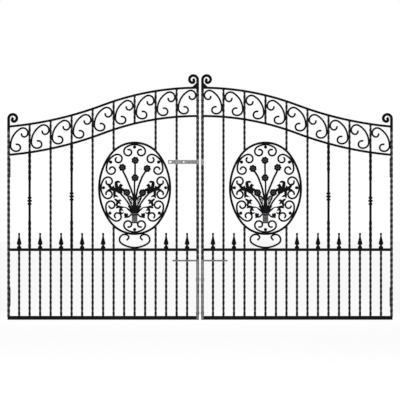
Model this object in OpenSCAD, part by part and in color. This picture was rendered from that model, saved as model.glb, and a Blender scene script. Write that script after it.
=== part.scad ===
// Estate gate: a pair of wrought-iron swan-neck leaves hung on hook hinges.
// X runs along the gate, Z is up, and the gate is seen from -Y.

/* [Leaf] */
// Distance between the axes of neighbouring dog bars
bar_pitch = 78; // [75:0.5:81]
// Distance between the axes of the two meeting stiles
meeting_gap = 36; // [36:1:60]

/* [Stiles and rails] */
// Side of the square stiles
stile_side = 16; // [14:1:18]
// Depth of all rails, front to back
rail_depth = 16; // [14:1:20]
// Height of the bottom rail
bottom_rail_h = 27; // [20:1:36]
// Height of the middle rail
middle_rail_h = 19; // [14:1:22]
// Height of the middle rail's underside
middle_rail_z = 511; // [500:1:520]
// Height of the bar of the curved rails
curved_rail_h = 15; // [12:1:16]
// Height of the upper curved rail's centre line at the hinge stile
hinge_side_z = 1435; // [1425:1:1500]
// Distance from the upper to the lower curved rail
frieze_drop = 210; // [204:1:216]
// Slope of the curved rails at the hinge stile, in degrees
low_slope = 5; // [3:0.5:7]
// Slope of the curved rails at half span, in degrees
mid_slope = 20.7; // [19:0.1:22]

/* [Bars] */
// Side of the thin square bars
thin_bar = 13; // [11:1:14]
// Side of the square bars that carry collars
collared_bar = 17; // [14:1:18]
// Widest radius of a collar
collar_r = 17.5; // [15:0.5:20]
// Height of one ring of a collar
collar_ring_h = 15; // [12:1:18]
// Distance between the rings of a collar
collar_ring_pitch = 23; // [19:1:28]

/* [Spear points] */
// Height of a spear point
spear_h = 116; // [90:1:140]
// Widest radius of a spear point
spear_r = 16.5; // [14:0.5:20]

/* [Scrolls] */
// Thickness of the scroll bar
scroll_bar = 12; // [10.5:0.5:13]
// Depth of the scroll bar, front to back
scroll_depth = 10; // [8:1:14]
// Air above and below a frieze scroll at the middle of its bay
frieze_air = 5; // [3:0.5:7]
// First radius of the scrolls on the stiles
stile_scroll_r = 31.5; // [30:0.5:34]
// Thickness of the drawn neck and scroll of a stile
stile_scroll_bar = 19; // [17:0.5:19.5]
// Straight stretch of stile between the upper rail and its scroll
stile_neck = 60; // [50:1:70]
// Length of the gusset along the upper rail
gusset_w = 34; // [20:1:40]
// Height of the gusset above the upper rail
gusset_h = 29; // [16:1:34]

/* [Oval] */
// Width of the oval's centre line
oval_w = 527; // [518:1:534]
// Height of the oval's centre line
oval_h = 678; // [666:1:690]
// How much larger the oval's half width is than the radius of its top and bottom arcs
oval_bulge = 37.5; // [32:0.5:44]
// Height of the oval's lowest point above the middle rail
oval_lift = 107.5; // [104:0.5:116]
// Thickness of the oval's bar
oval_bar = 15; // [13.5:0.5:16]
// Depth of the oval's bar, front to back
oval_depth = 12; // [10:1:16]
// Radius of the back of the scrolls in the oval as a share of the oval's half width
oval_scroll_share = 0.4165; // [0.4015:0.0005:0.4315]
// Radius of the ball at the back of each scroll
ball_r = 12.5; // [9:0.5:13]
// Radius of the back of the foot scroll
foot_scroll_r = 171; // [162:1:180]

/* [Bouquet] */
// Radius of a flower over its petals
flower_r = 28; // [24:1:30]
// Thickness of the petals
petal_t = 5; // [4:0.5:7]
// Width of the flower stems
stem_w = 10; // [6:0.5:11]
// Depth of stems and leaves, front to back
stem_depth = 10; // [8:1:10]
// Width of the bundle of stems
bundle_w = 32; // [26:1:36]
// Height of the sheath under its collar
sheath_h = 67; // [60:1:72]
// Width of the sheath's collar
sheath_collar_w = 62; // [50:1:70]
// Height of the sheath's collar
sheath_collar_h = 8; // [6:1:12]

/* [Drop bolts] */
// Diameter of a drop bolt
bolt_d = 20; // [16:1:20]
// Height of the top of a raised drop bolt
bolt_top_z = 446; // [420:1:470]
// Diameter of the bolt's handle
bolt_handle_d = 12; // [9:1:14]
// Reach of the bolt's handle from the bolt's axis
bolt_handle_reach = 187; // [120:1:200]
// Distance that a bolt drops
bolt_drop = 120; // [80:5:130]
// Height of the underside of the flat that is cut into a raised bolt
bolt_flat_z = 195; // [185:1:205]
// Height of the flat
bolt_flat_h = 68; // [50:1:72]
// Height of a bolt guide
bolt_guide_h = 20; // [16:1:30]
// Wall of a bolt guide
bolt_guide_wall = 2.5; // [2:0.5:4.5]
// Height of the underside of the lower bolt guide
lower_guide_z = 40; // [30:1:80]

/* [Latch] */
// Length of the latch bar
latch_l = 229; // [215:1:240]
// Height of the latch bar
latch_h = 29; // [25:1:32]
// Thickness of the latch bar
latch_t = 6; // [5:1:8]
// Height of the latch bar's centre line
latch_z = 1172; // [1140:1:1200]
// Length of the finger slot
finger_slot_l = 20; // [18:1:24]
// Height of the finger slot and diameter of the padlock hole
finger_slot_h = 13; // [10:1:14]
// Thickness of the strap of the latch guides and of the keep
latch_strap_t = 4; // [3:0.5:6]

/* [Hinges] */
// Diameter of the hinge pins
pin_d = 14; // [12:1:16]
// Outer diameter of the hinge eyes
eye_d = 22; // [21:1:24]
// Height of a hinge eye
eye_h = 40; // [30:1:50]
// Distance of the pin axis behind the leaf's middle plane
pin_offset = 26; // [25:1:32]
// Height of the seat of the lower hinge eye
lower_hook_z = 170; // [120:5:300]
// Height of the seat of the upper hinge eye
upper_hook_z = 1130; // [1050:5:1140]
// Thickness of the arm under the pin
hook_arm_t = 12; // [10:1:16]
// Width of the hook plates
plate_w = 22; // [20:1:30]
// Distance from a bolt hole's centre to the end of its hook plate
plate_hole_edge = 12; // [10:1:20]
// Thickness of the hook plates
plate_t = 8; // [6:1:12]
// Distance between the two bolt holes of a hook plate
plate_hole_pitch = 116; // [112:1:120]
// Diameter of the bolt holes of a hook plate
plate_hole_d = 9; // [7:0.5:11]

/* [Hidden] */
$fn = 96;
BLACK = "#1c1c1e";
ZINC = "#8b8d90";

// Gap that a weld fills where a curve touches its neighbour
weld_gap = 0.3;
// Running gap of a pin in its eye and of a bolt in its guide, on each side
run_gap = 0.3;
// Gap between moving pieces that never touch
clear_gap = 5;
// Overrun of cuts past the faces they open
overrun = 1;
// Largest distance of a bent bar's facets from its true curve
facet_error = 0.15;

// Pitches across a leaf, and the pitches where bars and ornament stand
LEAF_PITCHES = 18;
FRIEZE_BAYS = 9;
THIN_PITCHES = [4, 8, 16];
COLLARED_PITCHES = [2, 6];
OVAL_PITCH = 12;
OVAL_BAR_PITCHES = [10, 14];
SPEAR_PITCHES = [1, 3, 5, 7, 9, 15, 17];
LATCH_BAR_PITCH = 16;

leaf_w = bar_pitch * LEAF_PITCHES;
bay_w = leaf_w / FRIEZE_BAYS;
gate_w = 2 * leaf_w + meeting_gap;
middle_rail_top = middle_rail_z + middle_rail_h;

// Curved rails: a hollow arc up to half span, then a crown arc that ends level
half_span = leaf_w / 2;
hollow_r = half_span / (sin(mid_slope) - sin(low_slope));
crown_r = half_span / sin(mid_slope);
meeting_side_z = hinge_side_z
    + hollow_r * (cos(low_slope) - cos(mid_slope)) + crown_r * (1 - cos(mid_slope));
hollow_z = hinge_side_z + hollow_r * cos(low_slope);
crown_z = meeting_side_z - crown_r;

function hollow_height(x) = hollow_z - sqrt(pow(hollow_r, 2) - pow(x + hollow_r * sin(low_slope), 2));
function crown_height(x) = crown_z + sqrt(pow(crown_r, 2) - pow(leaf_w - x, 2));
function rail_height(x) = x < half_span ? hollow_height(x) : crown_height(x);
function lower_rail_height(x) = rail_height(x) - frieze_drop;

// Frieze scroll: from its widest point up over the crown, down the back and into the foot curl,
// and down into the upper curl. The radii are shares of the crown's radius.
CROWN_TURN = 120;
BACK_TURN = 60;
FOOT_TURN = 120;
FOOT_CURL_TURN = 175;
TOP_TURN = 70;
TOP_CURL_TURN = 130;
foot_share = 1.1;
foot_curl_share = 0.675;
top_share = 0.825;
top_curl_share = 0.55;
frieze_scroll_h = frieze_drop - curved_rail_h - scroll_bar - 2 * frieze_air;
back_pull = sin(BACK_TURN) / (1 - cos(BACK_TURN));

// Scrolls on the stiles
STILE_ANGLES = [90, 90, 90, 90, 50];
stile_bend_shares = [1, 0.94, 0.76, 0.34, 0.76];
stile_scroll_radii = stile_bend_shares * stile_scroll_r;

// Oval of four tangent arcs
oval_x = bar_pitch * OVAL_PITCH;
oval_a = oval_w / 2;
oval_b = oval_h / 2;
oval_z = middle_rail_top + oval_lift + oval_b;
oval_end_r = oval_a - oval_bulge;
oval_end_rise = oval_b - oval_end_r;
oval_side_inset = (pow(oval_end_rise, 2) - pow(oval_bulge, 2)) / (2 * oval_bulge);
oval_side_r = oval_a + oval_side_inset;
oval_side_angle = atan2(oval_end_rise, oval_side_inset);
oval_out_r = oval_end_r + oval_bar / 2;
OVAL_RADII = [oval_end_r, oval_side_r, oval_end_r, oval_side_r, oval_end_r];
oval_end_angle = 90 - oval_side_angle;
OVAL_ANGLES = [
    oval_end_angle, 2 * oval_side_angle, 2 * oval_end_angle, 2 * oval_side_angle, oval_end_angle];

// Scrolls in the oval, each half drawn from the middle of its back
OVAL_SCROLL_ANGLES = [35, 55, 90, 90, 125];
oval_scroll_r = oval_a * oval_scroll_share;
oval_bend_shares = [1, 0.355, 0.283, 0.236, 0.18];
oval_scroll_radii = oval_bend_shares * oval_scroll_r;
oval_scroll_seat = oval_bar / 2 + weld_gap + scroll_bar / 2;
// Seats of the three scrolls on each side, as shares of the side arc's half angle
side_seat_shares = [-0.785, 0.016, 0.832];
side_seat_angles = side_seat_shares * oval_side_angle;

// Foot scroll: its volutes touch the underside of the oval
FOOT_ANGLES = [35, 55, 90, 45, 85, 10];
foot_corner_share = 0.2;
foot_volute_shares = [1, 1, 0.34, 3];
foot_corner_r = foot_scroll_r * foot_corner_share;
foot_z = middle_rail_top + weld_gap + scroll_bar / 2;
foot_turn = FOOT_ANGLES[0];
foot_reach = foot_scroll_r * sin(foot_turn) + foot_corner_r * (1 - sin(foot_turn));
foot_rise = foot_scroll_r * (1 - cos(foot_turn)) + foot_corner_r * cos(foot_turn);
foot_to_oval = oval_z - oval_end_rise - foot_z - foot_rise;
foot_stand_off = oval_out_r + scroll_bar / 2 + weld_gap;
foot_volute_r = (pow(foot_reach, 2) + pow(foot_to_oval, 2) - pow(foot_stand_off, 2))
    / (2 * (foot_reach + foot_stand_off));
foot_radii = concat([foot_scroll_r, foot_corner_r], foot_volute_shares * foot_volute_r);

// Bouquet: places across and sizes are shares of the oval's half width, and heights are shares of the
// distance from the sheath's collar to the top of the oval
flower_place_shares = [
    [0.015, 0.752], [0.01, 0.502], [-0.35, 0.651], [0.358, 0.635], [-0.224, 0.292], [0.227, 0.288]];
STEM_FLOWERS = [0, 2, 3, 4, 5];
PETALS = 7;
petal_share = 0.4;
boss_share = 0.32;
boss_rise_share = 1.8;
stem_root_shares = [
    [0.015, 0.191], [0.015, 0.191], [-0.055, 0.263], [0.06, 0.263], [-0.05, 0.14], [0.05, 0.14]];
bundle_top_share = 0.269;
// Leaf blades of one side: root across and up, length, width, all as shares, then the angle
big_leaf_shares = [
    [-0.5, 0.318, 0.25, 0.1, 88],
    [-0.51, 0.324, 0.2, 0.085, 47],
    [-0.47, 0.334, 0.25, 0.09, -4],
    [-0.49, 0.33, 0.21, 0.095, 170],
    [-0.505, 0.343, 0.22, 0.085, -105]];
sprig_leaf_shares = [
    [-0.37, 0.081, 0.27, 0.085, 124],
    [-0.355, 0.072, 0.16, 0.06, 100],
    [-0.345, 0.081, 0.13, 0.05, -88]];
small_leaf_shares = [
    [-0.155, -0.058, 0.15, 0.07, 152],
    [-0.155, -0.061, 0.1, 0.05, 105]];
big_stem_shares = [[-0.5, 0.327], [-0.02, 0.013]];
sprig_stem_shares = [[-0.37, 0.078], [-0.02, 0.03]];
small_stem_shares = [[-0.17, -0.058], [-0.02, -0.035]];

// Sheath: its lower corners rest on the inner curls of the bottom scroll
SHEATH_SEAT_ANGLE = 68;
volute_turn = OVAL_SCROLL_ANGLES[0];
volute_x = oval_scroll_radii[0] * sin(volute_turn) + oval_scroll_radii[1] * (1 - sin(volute_turn))
    - oval_scroll_radii[2];
volute_rise = oval_scroll_radii[0] * (1 - cos(volute_turn)) + oval_scroll_radii[1] * cos(volute_turn)
    + oval_scroll_radii[2] - oval_scroll_radii[3];
volute_out_r = oval_scroll_radii[3] + scroll_bar / 2 + weld_gap;
sheath_w = 2 * (volute_x - volute_out_r * sin(SHEATH_SEAT_ANGLE));
sheath_z = oval_z - oval_b + oval_scroll_seat + volute_rise + volute_out_r * cos(SHEATH_SEAT_ANGLE);
sheath_depth = 24;
sheath_collar_depth = 30;
bundle_depth = 16;
bundle_z = sheath_z + sheath_h + sheath_collar_h;
bouquet_h = oval_z + oval_b - bundle_z;
bundle_h = bouquet_h * bundle_top_share;

// Spear profile: radius and height as shares of the widest radius and of the height
spear_shares = [
    [0, 0], [0.82, 0], [0.85, 0.04], [0.76, 0.09], [0.4, 0.17], [0.36, 0.2], [0.91, 0.26], [1, 0.3],
    [0.97, 0.345], [0.64, 0.52], [0.33, 0.69], [0.24, 0.81], [0.4, 0.92], [0.36, 0.97], [0, 1]];
// Collar ring profile: share of the ring's radius, share of its height
collar_shares = [[0.72, -0.5], [0.92, -0.3], [1, 0], [0.92, 0.3], [0.72, 0.5]];
small_collar_share = 0.87;

// Drop bolts stand in front of the meeting stiles
bolt_y = -stile_side / 2 - clear_gap - bolt_d / 2;
bolt_handle_z = bolt_top_z - bolt_handle_d / 2 - weld_gap;
upper_guide_z = bolt_handle_z - bolt_handle_d / 2 - bolt_drop - clear_gap - bolt_guide_h;

// Latch bar in front of the stiles
latch_y = -stile_side / 2 - clear_gap - latch_t;
latch_end = leaf_w + stile_side / 2 + overrun;
keep_gap = 4;
finger_slot_share = 0.075;
padlock_hole_share = 0.51;

// Hinges behind the hinge stiles
hook_reach = 22;
plate_h = plate_hole_pitch + 2 * plate_hole_edge;
plate_y = pin_offset + hook_reach;
plate_back_y = plate_y + plate_t;

// Every piece of a leaf comes in a left and a right hand
LEAF_PIECES = [
    "hinge_hooks", "hinge_stile", "meeting_stile", "bottom_rail", "middle_rail", "curved_rails",
    "upright_bars", "frieze_scrolls", "collared_bars", "dog_bars", "spear_points", "oval_ring",
    "oval_scrolls", "scroll_balls", "foot_scroll", "flowers", "flower_stems", "leaf_sprays",
    "stem_sheath", "hinge_eyes", "bolt_guides", "drop_bolt"];

// The origin is the middle of the back face of the left leaf's lower hook plate
module left_leaf() {
    translate([0, -plate_back_y, -lower_hook_z])
        children();
}

module right_leaf() {
    translate([gate_w, 0, 0])
        mirror([1, 0, 0])
            left_leaf()
                children();
}

// Shapes drawn across and up stand in the leaf's plane
module upright() {
    rotate([90, 0, 0])
        children();
}

// A square bar that stands on a point of the leaf
module bar(x, z, h, side) {
    translate([x - side / 2, -side / 2, z])
        cube([side, side, h]);
}

// Point and heading after the first n arcs of a chain that starts at the origin along +X.
// A positive radius and angle turn left, a negative pair turns right.
function chain_pose(radii, angles, n) =
    n == 0 ? [0, 0, 0] :
    let (p = chain_pose(radii, angles, n - 1), r = radii[n - 1], h = p[2] + angles[n - 1])
    [p[0] + r * (sin(h) - sin(p[2])), p[1] + r * (cos(p[2]) - cos(h)), h];

// One edge of the bar along a chain, at the given distance to the right of its centre line
function chain_edge(radii, angles, shift) = [
    for (i = [0 : len(radii) - 1])
        let (p = chain_pose(radii, angles, i), r = radii[i])
        let (steps = ceil(abs(angles[i]) / (2 * acos(1 - facet_error / abs(r)))))
        for (j = [0 : i == len(radii) - 1 ? steps : steps - 1])
            let (h = p[2] + angles[i] * j / steps)
            [p[0] - r * sin(p[2]) + (r + shift) * sin(h), p[1] + r * cos(p[2]) - (r + shift) * cos(h)]];

function turned_round(points) = [for (i = [len(points) - 1 : -1 : 0]) points[i]];

// A bar bent along a chain of tangent arcs
module arc_chain(radii, angles, thick, depth) {
    linear_extrude(depth, center = true)
        polygon(concat(
            chain_edge(radii, angles, thick / 2),
            turned_round(chain_edge(radii, angles, -thick / 2))));
}

// A scroll of two like halves, its back at the origin and its mouth towards +Y
module twin_scroll(radii, angles) {
    outer = chain_edge(radii, angles, scroll_bar / 2);
    inner = chain_edge(radii, angles, -scroll_bar / 2);
    half = concat(outer, turned_round(inner));
    other = [for (p = turned_round(half)) [-p[0], p[1]]];
    last = len(half) - 1;
    linear_extrude(scroll_depth, center = true)
        polygon(concat([for (i = [0 : last]) half[i]], [for (i = [1 : last - 1]) other[i]]));
}

// One curved rail's bar from stile axis to stile axis
module curved_bar(drop) {
    upright()
        translate([0, hinge_side_z - drop, 0])
            rotate(low_slope)
                arc_chain(
                    [hollow_r, -crown_r], [mid_slope - low_slope, -mid_slope], curved_rail_h, rail_depth);
}

// The outline of a pointed leaf blade from the origin along +X
module blade(length, width) {
    r = (pow(length, 2) + pow(width, 2)) / (4 * width);
    translate([length / 2, 0])
        intersection() {
            translate([0, r - width / 2])
                circle(r);
            translate([0, width / 2 - r])
                circle(r);
        }
}

// The outline of a straight strip between two points
module strip(from, to, width) {
    run = to - from;
    translate(from)
        rotate(atan2(run[1], run[0]))
            translate([0, -width / 2])
                square([norm(run), width]);
}

function spot(share) = [oval_x + share[0] * oval_a, bundle_z + share[1] * bouquet_h];

module hinge_stile() {
    color(BLACK) {
        bar(0, bottom_rail_h, hinge_side_z + stile_neck - bottom_rail_h, stile_side);
        mirror([1, 0, 0])
            stile_head(hinge_side_z);
    }
}

module meeting_stile() {
    color(BLACK) {
        bar(leaf_w, bottom_rail_h, meeting_side_z + stile_neck - bottom_rail_h, stile_side);
        translate([leaf_w, 0, 0])
            stile_head(meeting_side_z);
        gusset();
    }
}

// The neck above the upper rail and the scroll on it, which turns left
module stile_head(rail_z) {
    top = rail_z + stile_neck;
    neck_z = rail_z + curved_rail_h;
    translate([-stile_scroll_bar / 2, -stile_side / 2, neck_z])
        cube([stile_scroll_bar, stile_side, top - neck_z]);
    upright()
        translate([0, top, 0])
            rotate(90)
                arc_chain(stile_scroll_radii, STILE_ANGLES, stile_scroll_bar, stile_side);
}

// Triangular plate on the upper rail, cut to the rail's curve
module gusset() {
    difference() {
        upright()
            translate([leaf_w - stile_side / 2, meeting_side_z, 0])
                linear_extrude(scroll_depth, center = true)
                    polygon([
                        [0, 0], [0, curved_rail_h / 2 + gusset_h],
                        [-gusset_w, curved_rail_h / 2], [-gusset_w, 0]]);
        curved_bar(0);
    }
}

module bottom_rail() {
    color(BLACK)
        translate([-stile_side / 2, -rail_depth / 2, 0])
            cube([leaf_w + stile_side, rail_depth, bottom_rail_h]);
}

module middle_rail() {
    color(BLACK)
        translate([stile_side / 2, -rail_depth / 2, middle_rail_z])
            cube([leaf_w - stile_side, rail_depth, middle_rail_h]);
}

module curved_rails() {
    color(BLACK)
        for (drop = [0, frieze_drop])
            intersection() {
                curved_bar(drop);
                translate([stile_side / 2, -rail_depth, 0])
                    cube([leaf_w - stile_side, 2 * rail_depth, 2 * meeting_side_z]);
            }
}

module upright_bars() {
    color(BLACK)
        difference() {
            union() {
                for (k = [1 : FRIEZE_BAYS - 1])
                    bar(k * bay_w, lower_rail_height(k * bay_w), frieze_drop, thin_bar);
                for (k = THIN_PITCHES)
                    long_bar(k * bar_pitch, thin_bar);
                for (k = OVAL_BAR_PITCHES)
                    long_bar(k * bar_pitch, thin_bar);
            }
            curved_bar(0);
            curved_bar(frieze_drop);
            upright()
                linear_extrude(2 * thin_bar, center = true)
                    oval_outline(oval_bar / 2 + weld_gap);
        }
}

// A bar from the middle rail up into the lower curved rail
module long_bar(x, side) {
    bar(x, middle_rail_top, lower_rail_height(x) - middle_rail_top, side);
}

module frieze_scrolls() {
    color(BLACK)
        for (k = [0 : FRIEZE_BAYS - 1]) {
            left_side = k == 0 ? stile_side : thin_bar;
            right_side = k == FRIEZE_BAYS - 1 ? stile_side : thin_bar;
            frieze_scroll(k, left_side / 2, right_side / 2);
        }
}

// One C-scroll between the faces of two bars, its radii fitted to the width and height left for it
module frieze_scroll(k, left_half, right_half) {
    inset = weld_gap + scroll_bar / 2;
    w = bay_w - left_half - right_half - 2 * inset;
    crown = (w * back_pull - frieze_scroll_h)
        / (back_pull * (1 + cos(BACK_TURN)) - 1 + sin(BACK_TURN) - foot_share);
    back = (w - crown * (1 + cos(BACK_TURN))) / (1 - cos(BACK_TURN));
    widest_x = (k + 1) * bay_w - right_half - inset;
    top_z = rail_height((k + 1 / 2) * bay_w) - (frieze_drop - frieze_scroll_h) / 2;
    upright()
        translate([widest_x, top_z - crown, 0]) {
            rotate(90)
                arc_chain(
                    [crown, back, crown * foot_share, crown * foot_curl_share],
                    [CROWN_TURN, BACK_TURN, FOOT_TURN, FOOT_CURL_TURN], scroll_bar, scroll_depth);
            mirror([0, 1, 0])
                rotate(90)
                    arc_chain(
                        [crown * top_share, crown * top_curl_share],
                        [TOP_TURN, TOP_CURL_TURN], scroll_bar, scroll_depth);
        }
}

module collared_bars() {
    color(BLACK)
        for (k = COLLARED_PITCHES) {
            x = k * bar_pitch;
            difference() {
                long_bar(x, collared_bar);
                curved_bar(frieze_drop);
            }
            translate([x, 0, (middle_rail_top + lower_rail_height(x) - curved_rail_h / 2) / 2])
                collar();
        }
}

// Three turned rings, the middle one the widest
module collar() {
    for (i = [-1, 0, 1])
        translate([0, 0, i * collar_ring_pitch])
            collar_ring(i == 0 ? collar_r : collar_r * small_collar_share);
}

module collar_ring(r) {
    rim = [for (s = collar_shares) [s[0] * r, s[1] * collar_ring_h]];
    rotate_extrude()
        polygon(concat([[0, -collar_ring_h / 2]], rim, [[0, collar_ring_h / 2]]));
}

module dog_bars() {
    color(BLACK)
        for (k = [1 : LEAF_PITCHES - 1])
            bar(k * bar_pitch, bottom_rail_h, middle_rail_z - bottom_rail_h, thin_bar);
}

module spear_points() {
    color(BLACK)
        for (k = SPEAR_PITCHES)
            translate([k * bar_pitch, 0, middle_rail_top])
                rotate_extrude()
                    polygon([for (s = spear_shares) [s[0] * spear_r, s[1] * spear_h]]);
}

// The oval's outline at the given distance outside its centre line
module oval_outline(shift) {
    translate([oval_x, oval_z - oval_b])
        polygon(chain_edge(OVAL_RADII, OVAL_ANGLES, shift));
}

module oval_ring() {
    color(BLACK)
        upright()
            linear_extrude(oval_depth, center = true)
                difference() {
                    oval_outline(oval_bar / 2);
                    oval_outline(-oval_bar / 2);
                }
}

// The eight places where a scroll's back touches the oval, mouth towards the middle
module at_oval_seats() {
    for (end = [0, 1])
        translate([oval_x, oval_z, 0])
            rotate(180 * end)
                translate([0, oval_scroll_seat - oval_b, 0])
                    children();
    for (side = [0, 1], turn = side_seat_angles)
        translate([oval_x, oval_z, 0])
            mirror([side, 0, 0])
                translate([oval_side_inset, 0, 0])
                    rotate(-turn)
                        translate([oval_scroll_seat - oval_side_r, 0, 0])
                            rotate(-90)
                                children();
}

module oval_scrolls() {
    color(BLACK)
        upright()
            at_oval_seats()
                twin_scroll(oval_scroll_radii, OVAL_SCROLL_ANGLES);
}

module scroll_balls() {
    color(BLACK)
        upright()
            at_oval_seats()
                translate([0, scroll_bar / 2 + weld_gap + ball_r, 0])
                    sphere(ball_r);
}

module foot_scroll() {
    color(BLACK)
        upright()
            translate([oval_x, foot_z, 0])
                twin_scroll(foot_radii, FOOT_ANGLES);
}

module flowers() {
    color(BLACK)
        upright()
            for (share = flower_place_shares, side = [0, 1])
                translate(spot(share))
                    mirror([0, 0, side])
                        translate([0, 0, stem_depth / 2])
                            flower();
}

// Round petals about a raised boss, flat at the back
module flower() {
    petal_r = flower_r * petal_share;
    linear_extrude(petal_t) {
        for (i = [0 : PETALS - 1])
            rotate(i * 360 / PETALS)
                translate([flower_r - petal_r, 0])
                    circle(petal_r);
        circle(flower_r - petal_r);
    }
    cylinder(r = flower_r * boss_share, h = petal_t * boss_rise_share);
}

module flower_stems() {
    color(BLACK)
        upright() {
            linear_extrude(bundle_depth, center = true)
                bundle(0);
            linear_extrude(stem_depth, center = true)
                for (i = STEM_FLOWERS)
                    strip(spot(stem_root_shares[i]), spot(flower_place_shares[i]), stem_w);
        }
}

// The outline of the gathered stems, grown sideways by a gap for cuts
module bundle(gap) {
    translate([oval_x - bundle_w / 2 - gap, bundle_z])
        square([bundle_w + 2 * gap, bundle_h]);
}

// The outline of the sheath under its collar, grown sideways in the same way
module sheath(gap) {
    translate([oval_x - sheath_w / 2 - gap, sheath_z])
        square([sheath_w + 2 * gap, sheath_h]);
}

module leaf_sprays() {
    color(BLACK)
        upright()
            linear_extrude(stem_depth, center = true)
                for (side = [0, 1])
                    translate([oval_x, 0])
                        mirror([side, 0])
                            translate([-oval_x, 0])
                                leaf_spray();
}

// The leaves of one side, cut to the bundle and the sheath
module leaf_spray() {
    difference() {
        union() {
            for (s = concat(big_leaf_shares, sprig_leaf_shares, small_leaf_shares))
                translate(spot(s))
                    rotate(s[4])
                        blade(s[2] * oval_a, s[3] * oval_a);
            for (ends = [big_stem_shares, sprig_stem_shares, small_stem_shares])
                strip(spot(ends[0]), spot(ends[1]), stem_w);
        }
        bundle(weld_gap);
        sheath(weld_gap);
    }
}

module stem_sheath() {
    color(BLACK)
        upright() {
            linear_extrude(sheath_depth, center = true)
                sheath(0);
            translate([oval_x - sheath_collar_w / 2, sheath_z + sheath_h, -sheath_collar_depth / 2])
                cube([sheath_collar_w, sheath_collar_h, sheath_collar_depth]);
        }
}

module hinge_eyes() {
    color(BLACK)
        for (z = [lower_hook_z, upper_hook_z])
            translate([0, pin_offset, z + run_gap])
                difference() {
                    union() {
                        cylinder(d = eye_d, h = eye_h);
                        translate([-stile_side / 2, stile_side / 2 - pin_offset, 0])
                            cube([stile_side, pin_offset - stile_side / 2, eye_h]);
                    }
                    translate([0, 0, -overrun])
                        cylinder(d = pin_d + 2 * run_gap, h = eye_h + 2 * overrun);
                }
}

module hinge_hooks() {
    color(BLACK)
        for (z = [lower_hook_z, upper_hook_z])
            translate([0, pin_offset, z])
                hinge_hook();
}

// A pin on an arm, on a plate with two bolt holes
module hinge_hook() {
    translate([0, 0, -hook_arm_t])
        cylinder(d = eye_d, h = hook_arm_t);
    translate([-eye_d / 2, 0, -hook_arm_t])
        cube([eye_d, hook_reach, hook_arm_t]);
    cylinder(d = pin_d, h = eye_h + 2 * clear_gap);
    difference() {
        translate([-plate_w / 2, hook_reach, -plate_h / 2])
            cube([plate_w, plate_t, plate_h]);
        for (end = [-1, 1])
            translate([0, hook_reach - overrun, end * plate_hole_pitch / 2])
                rotate([-90, 0, 0])
                    cylinder(d = plate_hole_d, h = plate_t + 2 * overrun);
    }
}

module drop_bolt() {
    color(ZINC)
        translate([leaf_w, bolt_y, 0]) {
            difference() {
                cylinder(d = bolt_d, h = bolt_top_z);
                translate([0, -bolt_d, bolt_flat_z])
                    cube([bolt_d, 2 * bolt_d, bolt_flat_h]);
            }
            translate([0, 0, bolt_handle_z])
                rotate([0, -90, 0])
                    cylinder(d = bolt_handle_d, h = bolt_handle_reach);
        }
}

module bolt_guides() {
    bore_d = bolt_d + 2 * run_gap;
    color(ZINC)
        for (z = [lower_guide_z, upper_guide_z])
            translate([leaf_w, bolt_y, z])
                difference() {
                    union() {
                        cylinder(d = bore_d + 2 * bolt_guide_wall, h = bolt_guide_h);
                        translate([-stile_side / 2, 0, 0])
                            cube([stile_side, -stile_side / 2 - bolt_y, bolt_guide_h]);
                    }
                    translate([0, 0, -overrun])
                        cylinder(d = bore_d, h = bolt_guide_h + 2 * overrun);
                }
}

// Latch bar with a finger slot at its far end and a padlock hole near its middle
module latch_bar() {
    slot_x = latch_end - latch_l * (1 - finger_slot_share);
    hole_x = latch_end - latch_l * (1 - padlock_hole_share);
    slot_flat = finger_slot_l - finger_slot_h;
    slot_start = slot_x - slot_flat / 2;
    color(ZINC)
        difference() {
            translate([latch_end - latch_l, latch_y, latch_z - latch_h / 2])
                cube([latch_l, latch_t, latch_h]);
            for (x = [slot_start, slot_start + slot_flat, hole_x])
                translate([x, latch_y - overrun, latch_z])
                    rotate([-90, 0, 0])
                        cylinder(d = finger_slot_h, h = latch_t + 2 * overrun);
            translate([slot_start, latch_y - overrun, latch_z - finger_slot_h / 2])
                cube([slot_flat, latch_t + 2 * overrun, finger_slot_h]);
        }
}

// A strap bent around the latch bar, welded to the front of a bar of the given side
module latch_strap(x, side, gap) {
    inner_h = latch_h + 2 * gap;
    outer_h = inner_h + 2 * latch_strap_t;
    front = latch_y - gap - latch_strap_t;
    translate([x - side / 2, 0, latch_z])
        difference() {
            translate([0, front, -outer_h / 2])
                cube([side, -side / 2 - front, outer_h]);
            translate([-overrun, front + latch_strap_t, -inner_h / 2])
                cube([side + 2 * overrun, -front, inner_h]);
        }
}

module latch_guides() {
    color(ZINC) {
        latch_strap(LATCH_BAR_PITCH * bar_pitch, thin_bar, run_gap);
        latch_strap(leaf_w, stile_side, run_gap);
    }
}

module latch_keep() {
    color(ZINC)
        latch_strap(leaf_w, stile_side, keep_gap);
}

// The leaf's pieces by name, for either hand
module leaf_piece(name) {
    if (name == "hinge_hooks") hinge_hooks();
    if (name == "hinge_stile") hinge_stile();
    if (name == "meeting_stile") meeting_stile();
    if (name == "bottom_rail") bottom_rail();
    if (name == "middle_rail") middle_rail();
    if (name == "curved_rails") curved_rails();
    if (name == "upright_bars") upright_bars();
    if (name == "frieze_scrolls") frieze_scrolls();
    if (name == "collared_bars") collared_bars();
    if (name == "dog_bars") dog_bars();
    if (name == "spear_points") spear_points();
    if (name == "oval_ring") oval_ring();
    if (name == "oval_scrolls") oval_scrolls();
    if (name == "scroll_balls") scroll_balls();
    if (name == "foot_scroll") foot_scroll();
    if (name == "flowers") flowers();
    if (name == "flower_stems") flower_stems();
    if (name == "leaf_sprays") leaf_sprays();
    if (name == "stem_sheath") stem_sheath();
    if (name == "hinge_eyes") hinge_eyes();
    if (name == "bolt_guides") bolt_guides();
    if (name == "drop_bolt") drop_bolt();
}

for (name = LEAF_PIECES) {
    left_leaf() leaf_piece(name);
    right_leaf() leaf_piece(name);
}
left_leaf() latch_guides();
left_leaf() latch_bar();
right_leaf() latch_keep();
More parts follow.
